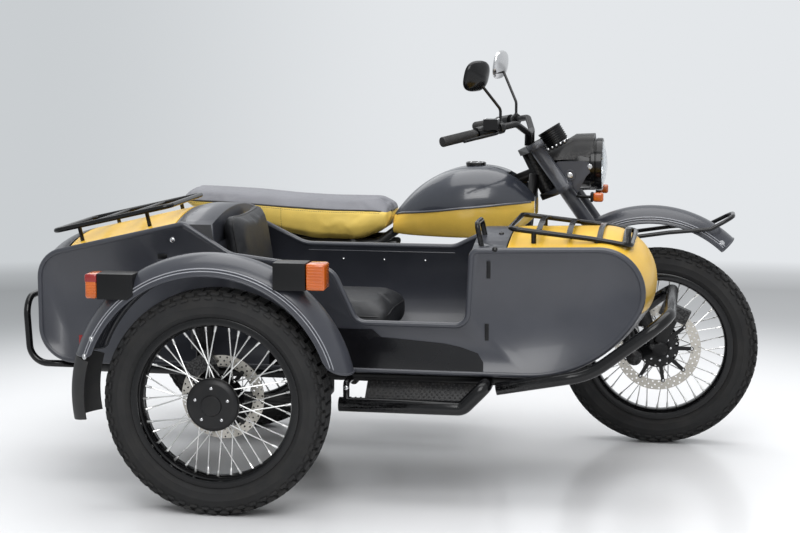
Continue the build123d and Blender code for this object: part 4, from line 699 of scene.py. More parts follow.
def dressed_copy(node: str, body: str, *finishes: Finish, smooth: float = 28.0, edge: float = 0.0,
                 pick: Callable[[Vector, Vector], int] | None = None) -> bpy.types.Object:
    """Replaces a CAD node by a merged, smooth copy of it with real finishes.

    Args:
        node: The CAD node.
        body: The body that it belongs to.
        finishes: Its finishes.
        smooth: Edges sharper than this many degrees stay sharp.
        edge: Radius that its sharp edges get, in metres, or 0 to leave them.
        pick: Gives the finish number from a face's middle and normal.

    Returns:
        The piece.
    """
    copy = node_mesh(node)
    if edge:
        bmesh.ops.dissolve_limit(copy, angle_limit=math.radians(0.6), verts=copy.verts[:], edges=copy.edges[:])
        sharp = [e for e in copy.edges if len(e.link_faces) == 2 and e.calc_face_angle(0.0) > math.radians(48)]
        bmesh.ops.bevel(copy, geom=sharp, offset=edge, segments=3, profile=0.5, affect="EDGES", clamp_overlap=True)
    if pick:
        copy.normal_update()
        for face in copy.faces:
            face.material_index = pick(face.calc_center_median(), face.normal)
    made = bpy.data.meshes.new(node + "_dressed")
    copy.to_mesh(made)
    copy.free()
    return place_piece(made.name, shaded(made, smooth), body, *finishes, replaces=[node])


def mark_seam(mesh: bpy.types.Mesh, seam: Callable[[float], float]) -> None:
    """Stores how far each point lies above a seam whose height is known from its place along X."""
    places = [in_source(v.co) for v in mesh.vertices]
    side = mesh.attributes.new("panel", "FLOAT", "POINT")
    side.data.foreach_set("value", [(place.z - seam(place.x)) * MM for place in places])


class Skin:
    """The surface of a CAD node, to lay details on."""

    def __init__(self, node: str) -> None:
        """Reads the node's mesh once."""
        copy = node_mesh(node)
        self.tree = BVHTree.FromBMesh(copy)
        copy.free()

    def hit(self, start: Vector, along: Vector) -> tuple[Vector, Vector] | None:
        """First point met from a start along a direction, and the normal there."""
        place, normal, _, _ = self.tree.ray_cast(start, along)
        return (place, normal) if place else None


# Geometry Nodes


class Repeats:
    """Geometry Nodes trees that repeat a template piece, and their running."""

    trees: dict[str, bpy.types.GeometryNodeTree] = {}

    @classmethod
    def tree(cls, name: str, inputs: Sequence[tuple[str, str]],
             build: Callable[[Wiring, Sockets], tuple[bpy.types.NodeSocket, ...]]) -> bpy.types.GeometryNodeTree:
        """Builds one tree that sets a template on points and ends in real meshes with one finish.

        Args:
            name: The tree's name.
            inputs: Pairs of socket name and socket type besides the template and the finish.
            build: Makes the points and their rotations from the inputs, and returns both sockets.

        Returns:
            The tree.
        """
        if name not in cls.trees:
            tree = bpy.data.node_groups.new(name, "GeometryNodeTree")
            for label, kind in (("Base", "NodeSocketGeometry"), ("Template", "NodeSocketObject"), *inputs,
                                ("Finish", "NodeSocketMaterial")):
                tree.interface.new_socket(name=label, in_out="INPUT", socket_type=kind)
            tree.interface.new_socket(name="Made", in_out="OUTPUT", socket_type="NodeSocketGeometry")
            w = Wiring(tree)
            given = w.node("NodeGroupInput").outputs
            points, spin = build(w, {socket.name: socket for socket in given if socket.name})
            template = w.feed(w.node("GeometryNodeObjectInfo"), Object=given["Template"])
            repeated = w.feed(w.node("GeometryNodeInstanceOnPoints"), Points=points, Rotation=spin,
                              Instance=template.outputs["Geometry"])
            real = w.feed(w.node("GeometryNodeRealizeInstances"), Geometry=repeated.outputs[0])
            dressed = w.feed(w.node("GeometryNodeSetMaterial"), Geometry=real.outputs[0], Material=given["Finish"])
            w.feed(w.node("NodeGroupOutput"), Made=dressed.outputs[0])
            cls.trees[name] = tree
        return cls.trees[name]

    @classmethod
    def round_axle(cls) -> bpy.types.GeometryNodeTree:
        """Turns a template round the Y axis through a centre, in equal steps."""
        def build(w: Wiring, given: Sockets) -> tuple[bpy.types.NodeSocket, ...]:
            """One point a step, all at the centre."""
            points = w.feed(w.node("GeometryNodePoints"), Count=given["Count"], Position=given["Centre"])
            step = w.math("DIVIDE", TURN, given["Count"])
            turn = w.math("MULTIPLY_ADD", w.node("GeometryNodeInputIndex").outputs[0], step, given["Start"])
            angles = w.feed(w.node("ShaderNodeCombineXYZ"), Y=turn)
            spin = w.feed(w.node("FunctionNodeEulerToRotation"), i0=angles.outputs[0])
            return points.outputs[0], spin.outputs[0]
        return cls.tree("round_the_axle", (("Count", "NodeSocketInt"), ("Start", "NodeSocketFloat"),
                                           ("Centre", "NodeSocketVector")), build)

    @classmethod
    def on_spots(cls) -> bpy.types.GeometryNodeTree:
        """Puts a template on each point of the base, its Z axis along the point's facing."""
        def build(w: Wiring, given: Sockets) -> tuple[bpy.types.NodeSocket, ...]:
            """The base's points, each turned to its facing."""
            points = w.feed(w.node("GeometryNodeMeshToPoints"), Mesh=given["Base"])
            facing = w.node("GeometryNodeInputNamedAttribute", data_type="FLOAT_VECTOR")
            facing.inputs["Name"].default_value = "facing"
            spin = w.feed(w.node("FunctionNodeAlignRotationToVector", axis="Z"), Vector=facing.outputs[0])
            return points.outputs[0], spin.outputs[0]
        return cls.tree("on_spots", (), build)

    @classmethod
    def along_route(cls) -> bpy.types.GeometryNodeTree:
        """Puts a template at equal steps along a curve, its X axis along the curve."""
        def build(w: Wiring, given: Sockets) -> tuple[bpy.types.NodeSocket, ...]:
            """One point a step along the resampled curve."""
            route = w.feed(w.node("GeometryNodeObjectInfo"), Object=given["Route"])
            steps = w.feed(w.node("GeometryNodeResampleCurve", mode="LENGTH"), Curve=route.outputs["Geometry"],
                           Length=given["Step"])
            along = w.node("GeometryNodeInputTangent").outputs[0]
            spin = w.feed(w.node("FunctionNodeAlignRotationToVector", axis="X"), Vector=along)
            return steps.outputs[0], spin.outputs[0]
        return cls.tree("along_route", (("Route", "NodeSocketObject"), ("Step", "NodeSocketFloat")), build)

    @staticmethod
    def run(tree: bpy.types.GeometryNodeTree, finish: Finish, form: Form, base: bpy.types.Mesh | None = None,
            **values: object) -> bpy.types.Mesh:
        """Runs a tree once and returns its result as a plain mesh.

        Args:
            tree: The tree to run.
            finish: The finish of all that it makes.
            form: What it repeats.
            base: Mesh that the tree starts from, if it needs one.
            values: Its other inputs by name.

        Returns:
            The mesh.
        """
        template = linked("template", form.mesh("template"))
        holder = linked("holder", base or bpy.data.meshes.new("holder"))
        work = holder.modifiers.new("repeat", "NODES")
        work.node_group = tree
        names = {item.name: item.identifier for item in tree.interface.items_tree if item.in_out == "INPUT"}
        for name, value in {**values, "Template": template, "Finish": finish.material()}.items():
            work[names[name]] = value
        made = plain_mesh(holder)
        bpy.data.objects.remove(holder)
        bpy.data.objects.remove(template)
        return made


def repeated_piece(name: str, body: str, finish: Finish, meshes: Sequence[bpy.types.Mesh]) -> bpy.types.Object:
    """Joins repeated meshes into one piece with one finish."""
    whole = bmesh.new()
    for mesh in meshes:
        whole.from_mesh(mesh)
    made = bpy.data.meshes.new(name)
    for face in whole.faces:
        face.material_index = 0
    whole.to_mesh(made)
    whole.free()
    return place_piece(name, shaded(made, 35.0), body, finish)


def round_the_axle(form: Form, count: int, centre: Vector, finish: Finish, start: float = 0.0) -> bpy.types.Mesh:
    """Repeats a form about a wheel's axle; the form is made with the axle at the origin."""
    return Repeats.run(Repeats.round_axle(), finish, form, Count=count, Start=start, Centre=tuple(centre))


def fasteners(name: str, body: str, finish: Finish, spots: Sequence[tuple[Vector, Vector]],
              form: Form) -> bpy.types.Object:
    """Sets one kind of fastener on many spots as one piece.

    Args:
        name: The piece's name.
        body: The body that it rides on.
        finish: Its finish.
        spots: Pairs of place and facing.
        form: The fastener at the origin, with its head along Z.

    Returns:
        The piece.
    """
    base = bpy.data.meshes.new("spots")
    base.from_pydata([tuple(place) for place, _ in spots], [], [])
    facing = base.attributes.new("facing", "FLOAT_VECTOR", "POINT")
    facing.data.foreach_set("vector", [part for _, normal in spots for part in normal])
    return repeated_piece(name, body, finish, [Repeats.run(Repeats.on_spots(), finish, form, base)])


def bolt_form(across: float = 0.010, tall: float = 0.005, washer: float = 0.0075) -> Form:
    """Six-sided bolt head on a washer, standing on the origin."""
    form = Form()
    form.turned([(0.0, -0.002), (washer, -0.002), (washer, 0.0010), (washer * 0.9, 0.0014), (0.0, 0.0014)],
                Vector(), UP, steps=16, closed=False)
    radius = across / 2 / math.cos(math.pi / 6)
    form.turned([(0.0, 0.0012), (radius, 0.0012), (radius, tall * 0.8), (radius * 0.84, tall), (0.0, tall)],
                Vector(), UP, steps=6, closed=False)
    return form


def dome_form(radius: float = 0.006, tall: float = 0.003) -> Form:
    """Round-headed screw, standing on the origin."""
    profile = [(0.0, -0.002), (radius, -0.002), (radius, 0.0006)]
    profile += [(radius * math.cos(a), 0.0006 + tall * math.sin(a)) for a in (0.4, 0.8, 1.2)] + [(0.0, 0.0006 + tall)]
    return Form().turned(profile, Vector(), UP, steps=14, closed=False)


# Wheels


def mm_pairs(pairs: Sequence[tuple[float, float]]) -> list[tuple[float, float]]:
    """Pairs of millimetres, in metres."""
    return [(a * MM, b * MM) for a, b in pairs]


def both_sides(half: Sequence[tuple[float, float]]) -> list[tuple[float, float]]:
    """A profile of (radius, place) and its mirror image, as one closed line."""
    return list(half) + [(r, -y) for r, y in reversed(half)]


@dataclass
class Wheel:
    """Wire wheel with a block-tread tyre and a drilled disc; sizes in millimetres."""

    name: str
    centre: Vector
    disc_radius: float
    disc_side: int
    cover_side: int = 0
    spokes: int = 20
    spoke_spread: float = math.radians(24.0)
    hub_half: float = 46.0
    lace_radius: float = 65.0
    nipple_radius: float = 229.0
    lug_count: int = 54
    disc_band: float = 34.0
    disc_out: float = 62.0
    disc_arms: int = 7
    hole_cells: int = 36

    @property
    def body(self) -> str:
        """The CAD body of this wheel."""
        return self.name + "_wheel"

    def build(self) -> None:
        """Builds every piece of the wheel."""
        self.tyre()
        self.rim_and_hub()
        self.spoke_set()
        self.disc()
        if self.cover_side:
            self.hub_cover()

    def lug(self, radius: float, place: float, size: Point, lean: float) -> Form:
        """One tread block with its middle at a radius and a place across, leaning outwards."""
        turn = Matrix.Rotation(-lean, 3, "Z")
        return Form().block(Vector((radius, place, 0.0)) * MM, tuple(s * MM for s in size), 1.6 * MM, 1, turn)

    def tyre(self) -> None:
        """Carcass with sidewall rings, and its rows of square lugs."""
        half = [(241.6, 39.2), (257.8, 39.2), (262.0, 43.0), (266.0, 47.6), (271.0, 50.4), (272.6, 51.8), (274.6, 51.8),
                (276.0, 51.9), (286.0, 54.3), (292.0, 55.2), (293.2, 55.9), (295.2, 55.9), (296.4, 55.1),
                (308.0, 54.2), (318.0, 51.0), (326.0, 45.6), (330.4, 38.0), (332.0, 28.0), (332.6, 14.0), (332.8, 4.0)]
        carcass = Form().turned(mm_pairs(both_sides(half)), self.centre, steps=144)
        step = TURN / self.lug_count
        meshes = []
        for side in (-1, 1):
            rows = ((336.2, 9.4, (10.8, 15.0, 31.0), 0.0, 0.25),
                    (334.6, 27.4, (11.4, 15.6, 30.0), 0.12, 0.25),
                    (329.6, 42.6, (14.0, 13.4, 28.0), 0.55, 0.75),
                    (318.0, 50.4, (13.0, 8.0, 22.0), 1.2, 0.25))
            for radius, place, size, lean, phase in rows:
                form = self.lug(radius, side * place, size, -side * lean)
                meshes.append(round_the_axle(form, self.lug_count, self.centre, TYRE_RUBBER, step * phase))
        base = carcass.mesh("carcass")
        made = repeated_piece(self.name + "_block_tyre", self.body, TYRE_RUBBER, [base, *meshes])
        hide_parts(self.name + "_tyre")

    def rim_and_hub(self) -> None:
        """Black rim with a rolled flange, and the hub between its two flanges."""
        half = [(228.0, 0.0), (228.0, 14.3), (231.5, 20.0), (237.3, 25.5), (237.3, 43.0), (240.5, 44.2), (254.5, 44.2),
                (257.3, 43.0), (257.3, 40.4), (254.0, 39.6), (241.3, 39.5), (241.3, 25.5), (236.0, 21.0),
                (232.0, 14.3), (232.0, 0.0)]
        rim = Form().turned(mm_pairs(both_sides(half)), self.centre, steps=128)
        face = self.hub_half
        hub = [(12.6, face), (66.0, face), (70.5, face - 0.8), (72.0, face - 2.5), (72.0, face - 5.0),
               (70.5, face - 6.6), (60.0, face - 7.2), (48.0, face - 9.0), (43.0, face - 14.0), (41.0, face - 22.0),
               (41.0, 2.0)]
        rim.turned(mm_pairs(both_sides(hub)), self.centre, steps=72)
        rim.piece(self.name + "_rim_and_hub", self.body, GLOSS_BLACK, replaces=[self.name + "_wheel"])
        side = -self.disc_side
        if not self.cover_side:
            nut = Form().turned(mm_pairs([(14.0, 0.0), (25.0, 0.0), (25.0, 3.0), (22.0, 5.0), (14.0, 5.0)]), Vector(),
                                UP, steps=24)
            spots = [(self.centre + Vector((0, side * face * MM, 0)), Vector((0, side, 0)))]
            fasteners(self.name + "_hub_ring", self.body, BRIGHT_STEEL, spots, nut)

    def spoke_set(self) -> None:
        """Four families of crossed spokes, each with its bent head and its nipple."""
        meshes = []
        for side in (-1, 1):
            for odd in (0, 1):
                rim_turn = math.radians((odd + (side + 1) / 4) * 360 / self.spokes)
                hub_turn = rim_turn + (self.spoke_spread if odd else -self.spoke_spread)
                layer = side * (self.hub_half - 7.0 * (0.3 if odd else 0.7))
                lace = Vector((self.lace_radius * math.cos(hub_turn), layer, self.lace_radius * math.sin(hub_turn)))
                end = Vector((math.cos(rim_turn), 0.0, math.sin(rim_turn))) * self.nipple_radius
                end.y = side * 7.2
                line = (end - lace).normalized()
                head = lace - Vector((0, side * (4.5 if odd else -4.5), 0))
                form = Form()
                form.tube([p * MM for p in (head, lace + line * 1.5, lace + line * 6, end - line * 17)],
                          2.1 * MM, sides=7)
                form.tube([p * MM for p in (end - line * 20, end - line * 18, end - line * 6, end)],
                          [2.4 * MM, 3.6 * MM, 3.9 * MM, 4.6 * MM], sides=8)
                form.turned(mm_pairs([(0.0, 0.0), (4.0, 0.0), (4.0, 1.2), (2.6, 2.4), (0.0, 2.4)]), head * MM,
                            Vector((0, 1 if odd == (side < 0) else -1, 0)), steps=10, closed=False)
                meshes.append(round_the_axle(form, self.spokes // 2, self.centre, SPOKE_STEEL))
        repeated_piece(self.name + "_spokes", self.body, SPOKE_STEEL, meshes)

    def drilled_band(self) -> Form:
        """Brake band with three rows of round holes through it."""
        outer, inner, rows = self.disc_radius, self.disc_radius - self.disc_band, 3
        high, low = self.disc_side * self.disc_out, self.disc_side * (self.disc_out - 5.0)
        form = Form()
        step = TURN / self.hole_cells

        def spot(radius: float, turn: float, y: float) -> Vector:
            """A point of the band in the frame."""
            return self.centre + Vector((radius * math.cos(turn), y, radius * math.sin(turn))) * MM

        square = [(-1.0, -1.0), (-0.33, -1.0), (0.33, -1.0), (1.0, -1.0), (1.0, -0.33), (1.0, 0.33), (1.0, 1.0),
                  (0.33, 1.0), (-0.33, 1.0), (-1.0, 1.0), (-1.0, 0.33), (-1.0, -0.33)]
        depth = (outer - inner) / rows
        for cell in range(self.hole_cells):
            for row in range(rows):
                middle, turn = inner + depth * (row + 0.5), step * (cell + 0.5)
                shift = step * (0.2 if row % 2 else -0.2)
                rim = [(middle + depth / 2 * v, turn + step / 2 * u) for u, v in square]
                hole = []
                for u, v in square:
                    a = math.atan2(v, u)
                    hole.append((middle + 3.1 * math.sin(a), turn + shift + 3.1 * math.cos(a) / middle))
                form.grid([[spot(r, t, high) for r, t in rim], [spot(r, t, high) for r, t in hole],
                           [spot(r, t, low) for r, t in hole], [spot(r, t, low) for r, t in rim]], ring=True)
        turns = [step * (cell + part) for cell in range(self.hole_cells) for part in (0.0, 0.335, 0.665)]
        for radius in (inner, outer):
            form.grid([[spot(radius, t, y) for t in turns] for y in (low, high)], ring=True)
        return form

    def disc(self) -> None:
        """Drilled band, and the dark spider that holds it with its bolts."""
        node = self.name + "_disc"
        self.drilled_band().piece(self.name + "_disc_band", self.body, DISC_STEEL, replaces=[node], smooth=30)
        side, inner = self.disc_side, self.disc_radius - self.disc_band
        form = Form()
        ring = [(26.0, 46.6), (26.0, 61.2), (27.2, 62.0), (56.0, 62.0), (60.0, 60.6), (60.0, 46.6)]
        form.turned(mm_pairs([(r, y * side) for r, y in ring]), self.centre, steps=64)
        spots = []
        for arm in range(self.disc_arms):
            turn = TURN * arm / self.disc_arms
            out = Vector((math.cos(turn), 0, math.sin(turn)))
            across = Vector((-out.z, 0, out.x))
            flank = [(54.0, 9.0), (66.0, 6.2), (inner - 4.0, 5.2)]
            head = [math.pi * k / 8 for k in range(9)]
            outline = [out * reach + across * half for reach, half in flank]
            outline += [out * (inner + 3.0 + 7.5 * math.sin(a)) + across * 7.5 * math.cos(a) for a in head]
            outline += [out * reach - across * half for reach, half in reversed(flank)]
            offset = Vector((0, side * 5.4, 0)) * MM
            base = Vector((0, side * (self.disc_out - 5.2), 0))
            form.slab([self.centre + (p + base) * MM for p in outline], offset, 0.8 * MM)
            for reach in (inner + 3.0, 44.0):
                face = out * reach + Vector((0, side * self.disc_out, 0))
                spots.append((self.centre + face * MM, Vector((0, side, 0))))
        form.piece(self.name + "_disc_spider", self.body, SATIN_BLACK)
        fasteners(self.name + "_disc_bolts", self.body, BRIGHT_STEEL, spots, dome_form(0.0048, 0.0022))

    def hub_cover(self) -> None:
        """Dished cover with a raised cap and five bolts, on the wheel's open side."""
        side = self.cover_side
        rise = [(0.0, 78.0), (24.0, 78.0), (29.5, 76.6), (31.5, 74.0), (32.0, 71.6), (36.0, 70.8), (62.0, 70.4),
                (67.0, 69.4), (72.0, 65.4), (77.0, 62.6), (79.6, 58.0), (80.0, 50.0), (80.0, 46.2), (0.0, 46.2)]
        form = Form().turned(mm_pairs([(r, y * side) for r, y in rise]), self.centre, steps=72, closed=False)
        form.piece(self.name + "_hub_cover", self.body, SATIN_BLACK)
        spots = []
        for bolt in range(5):
            turn = TURN * (bolt / 5 + 0.05)
            spots.append((self.centre + Vector((52.0 * math.cos(turn), side * 70.4, 52.0 * math.sin(turn))) * MM,
                          Vector((0, side, 0))))
        fasteners(self.name + "_cover_bolts", self.body, BRIGHT_STEEL, spots, dome_form(0.0052, 0.0026))


# Mudguards


@dataclass
class Mudguard:
    """Arched mudguard with a rolled rim, raised lines near it with pale lines of painted highlight on them, and rounded
    ends; in millimetres and degrees.
    """

    name: str
    node: str
    body: str
    centre: Vector
    crown: float
    drop: float
    half: float
    start: float
    end: float
    start_round: float = 0.0
    end_round: float = 0.0
    ribs: tuple[float, ...] = (0.80, 0.88)
    rib_rise: float = 2.8
    sheet: float = 2.5
    bead: float = 3.4
    spots: tuple[tuple[float, float], ...] = ()

    def place(self, across: float, turn: float, lift: float = 0.0) -> Vector:
        """A point of the arch.

        Args:
            across: Share from the middle (0) to the rims (-1 and 1).
            turn: Angle round the wheel, in degrees.
            lift: Height off the outer surface.

        Returns:
            The point in the frame.
        """
        bow = (self.half ** 2 + self.drop ** 2) / (2 * self.drop)
        span = math.atan2(self.half, bow - self.drop) * across
        radius = self.crown - bow + (bow + lift) * math.cos(span)
        a = math.radians(turn)
        return self.centre + Vector((radius * math.cos(a), (bow + lift) * math.sin(span), radius * math.sin(a))) * MM

    def ends(self, across: float) -> tuple[float, float]:
        """Start and end angle of the sheet at a share across, with its rounded ends."""
        def cut(size: float) -> float:
            """How far a round end falls back at this share across."""
            return size * (1 - math.sqrt(max(0.0, 1 - abs(across) ** 2.6)))
        return self.start + cut(self.start_round), self.end - cut(self.end_round)

    def line(self, across: float, lift: float, steps: int, inset: float = 0.0) -> Row:
        """A line round the arch at a share across, from end to end or that many degrees inside them."""
        low, high = self.ends(across)
        return [self.place(across, low + inset + (high - low - 2 * inset) * k / steps, lift) for k in range(steps + 1)]

    def relief(self, across: float) -> float:
        """Height of the raised lines at a share across."""
        return sum(self.rib_rise * math.exp(-((abs(across) - rib) / 0.018) ** 2) for rib in self.ribs)

    def build(self) -> None:
        """Builds the sheet, its rolled rim, the pale lines of painted highlight on its raised lines, and its bolts."""
        shares = [i / 90 * 2 - 1 for i in range(91)]
        rows = []
        for lift, order in ((0.0, shares), (-self.sheet, shares[::-1])):
            rows += [self.line(across, lift + self.relief(across), 96) for across in order]
        form = Form().grid(rows, loop=True)
        for edge in (0, -1):
            form.grid([[rows[i][edge] for i in range(91)], [rows[181 - i][edge] for i in range(91)]])
        middle = -self.sheet / 2
        tail = [self.place(1 - i / 20, self.ends(1 - i / 20)[1], middle) for i in range(1, 40)]
        nose = [self.place(-1 + i / 20, self.ends(-1 + i / 20)[0], middle) for i in range(1, 40)]
        rim = self.line(1.0, middle, 80) + tail + self.line(-1.0, middle, 80)[::-1] + nose
        form.tube(rim, self.bead * MM, sides=12, closed=True)
        form.piece(self.name, self.body, PAINT_GREY, replaces=[self.node], smooth=40)
        # Painted highlight: pale tubes along the raised lines, where their edges catch the light.
        lines = Form()
        for rib in self.ribs:
            for side in (-rib, rib):
                lines.tube(self.line(side, self.rib_rise * 0.6, 90, 1.0), 1.7 * MM, sides=8)
        lines.piece(self.name + "_lines", self.body, HIGHLIGHT_LINE_GREY)
        if self.spots:
            heads = []
            for across, turn in self.spots:
                low = self.place(across, turn)
                heads.append((low, (self.place(across, turn, 5.0) - low).normalized()))
            fasteners(self.name + "_bolts", self.body, BRIGHT_STEEL, heads, bolt_form(0.011, 0.0045, 0.009))


# Seats


PAD_VOXEL = 0.006
PAD_PRESSURE = 4.0
PAD_FRAMES = 20


def puffed(form: Form, cap: float) -> bpy.types.Mesh:
    """Blows a closed form up like a stuffed cover, with Blender's Cloth.

    Args:
        form: The closed form, a little smaller than the finished pad.
        cap: The most that a point may move, in metres.

    Returns:
        The finished mesh, once subdivided.
    """
    pad = linked("pad", form.mesh("pad"))
    remesh = pad.modifiers.new("voxels", "REMESH")
    remesh.mode, remesh.voxel_size = "VOXEL", PAD_VOXEL
    base = plain_mesh(pad)
    pad.modifiers.clear()
    pad.data = base
    rest = [v.co.copy() for v in base.vertices]
    cloth = pad.modifiers.new("stuffing", "CLOTH")
    cloth.settings.use_pressure = True
    cloth.settings.uniform_pressure_force = PAD_PRESSURE
    cloth.settings.effector_weights.gravity = 0.0
    cloth.point_cache.frame_end = PAD_FRAMES
    for number in range(1, PAD_FRAMES + 1):
        bpy.context.scene.frame_set(number)
    moved = pad.evaluated_get(bpy.context.evaluated_depsgraph_get()).data
    for vertex, start, end in zip(base.vertices, rest, [v.co.copy() for v in moved.vertices]):
        step = end - start
        vertex.co = start + step * min(1.0, cap / max(step.length, 1e-9))
    pad.modifiers.clear()
    bpy.context.scene.frame_set(1)
    soften = pad.modifiers.new("soften", "SMOOTH")
    soften.factor, soften.iterations = 0.5, 6
    finer = pad.modifiers.new("finer", "SUBSURF")
    finer.levels = finer.render_levels = 1
    made = plain_mesh(pad)
    bpy.data.objects.remove(pad)
    made.shade_smooth()
    return made


@dataclass
class BenchSeat:
    """Two-person seat: grey top, yellow sides, black piping and a stitched side seam; in millimetres."""

    front: float = 536.0
    rear: float = -222.0
    half_width: float = 145.0
    bottom: float = 706.3
    height: float = 146.0
    top_shares: tuple[tuple[float, float], ...] = ((0.0, 0.97), (0.06, 0.99), (0.34, 0.935), (0.52, 0.855),
                                                   (0.70, 0.81), (0.97, 0.81), (1.0, 0.74))
    low_shares: tuple[tuple[float, float], ...] = ((0.0, 0.94), (0.07, 0.70), (0.385, 0.35), (0.50, 0.18), (0.66, 0.02),
                                                   (0.86, 0.02), (1.0, 0.34))
    seam_drop: float = 17.0
    swell: float = 5.0
    crown: float = 26.0

    def height_at(self, table: Sequence[tuple[float, float]], x: float, step: float) -> float:
        """Height of an outline at a place, its corners eased over two steps to each side."""
        shares = [between(table, (x + k * step - self.rear) / (self.front - self.rear)) for k in (-2, -1, 0, 1, 2)]
        return self.bottom + self.height * sum(shares) / len(shares)

    def top(self, x: float) -> float:
        """Height of the top's edge at a place."""
        return self.height_at(self.top_shares, x, 15)

    def low(self, x: float) -> float:
        """Height of the underside at a place."""
        return self.height_at(self.low_shares, x, 10)

    def seam(self, x: float) -> float:
        """Height of the piped seam at a place."""
        return self.top(x) - self.seam_drop

    def build(self) -> None:
        """Builds the pad, its piping and its stitches."""
        rows = []
        count = 48
        for i in range(count + 1):
            x = self.rear + self.swell + (self.front - self.rear - self.swell * 2) * i / count
            ahead = min(1.0, (self.front - x) / 60.0, (x - self.rear) / 60.0)
            half = (self.half_width - self.swell) * (0.86 + 0.14 * math.sqrt(max(0.0, 1 - (1 - ahead) ** 2)))
            z0, z1 = self.low(x) + self.swell * 0.6, self.top(x) - self.swell
            row = []
            for k in range(40):
                a = TURN * k / 40
                u, v = eased(math.cos(a), 0.28), eased(math.sin(a), 0.34)
                crown = self.crown * (1 - u * u) * max(0, v)
                row.append(at(x, half * u * (1 - 0.03 * (v < 0)), (z0 + z1) / 2 + (z1 - z0) / 2 * v + crown - 4))
            rows.append(row)
        form = Form().grid(rows, ring=True)
        form.cap(rows[0]).cap(rows[-1])
        mesh = puffed(form, 0.009)
        mark_seam(mesh, self.seam)
        pad = place_piece("bench_pad", mesh, "chassis", VINYL_SEAT, replaces=["bench_seat"])
        tree = surface(mesh)
        route: Row = []
        for k in range(160):
            a = TURN * k / 160
            u, v = eased(math.cos(a), 0.35), eased(math.sin(a), 0.35)
            middle = (self.front + self.rear) / 2
            x = middle + (self.front - self.rear) * 0.62 * u
            inside = min(max(x, self.rear + 60), self.front - 60)
            z = self.seam(min(max(x, self.rear + 4), self.front - 4))
            start = at(x, self.half_width * 1.5 * v, z)
            aim = at(inside, 0.0, z) if abs(u) > 0.97 else at(x, 0.0, z)
            met = tree.ray_cast(start, (aim - start).normalized())[0]
            if met:
                route.append(met)
        Form().tube(smoothed(route, 2, True), 3.2 * MM, sides=10, closed=True).piece("bench_piping", "chassis", PIPING)
        self.stitches(tree)

    def stitches(self, tree: BVHTree) -> None:
        """Sews a row of stitches down each side and a line of them below the piping."""
        meshes = []
        stitch = Form().block(Vector(), (0.0042, 0.0014, 0.0014), 0.0006, 1)
        for side in (-1, 1):
            down = [(150.0, self.seam(150.0) - 6.0 - 3.0 * k) for k in range(28)]
            back = [self.rear + 20.0 + 6.0 * k for k in range(118)]
            for points in (down, [(x, self.seam(x) - 7.0) for x in back]):
                route = []
                for x, z in points:
                    met = tree.ray_cast(at(x, side * self.half_width * 1.6, z), Vector((0, -side, 0)))[0]
                    if met:
                        route.append(met + Vector((0, side * 0.0004, 0)))
                curve = bpy.data.curves.new("stitch_route", "CURVE")
                curve.dimensions = "3D"
                line = curve.splines.new("POLY")
                line.points.add(len(route) - 1)
                for point, place in zip(line.points, route):
                    point.co = (*place, 1.0)
                holder = linked("stitch_route", curve)
                meshes.append(Repeats.run(Repeats.along_route(), PIPING, stitch, Route=holder, Step=0.0065))
                bpy.data.objects.remove(holder)
        repeated_piece("bench_stitches", "chassis", PIPING, meshes)


def smoothed(path: Row, rounds: int, closed: bool) -> Row:
    """A path with its corners eased by averaging neighbours."""
    made = [p.copy() for p in path]
    for _ in range(rounds):
        count = len(made)
        made = [p if not closed and i in (0, count - 1)
                else (made[i - 1] + p * 2 + made[(i + 1) % count]) / 4 for i, p in enumerate(made)]
    return made


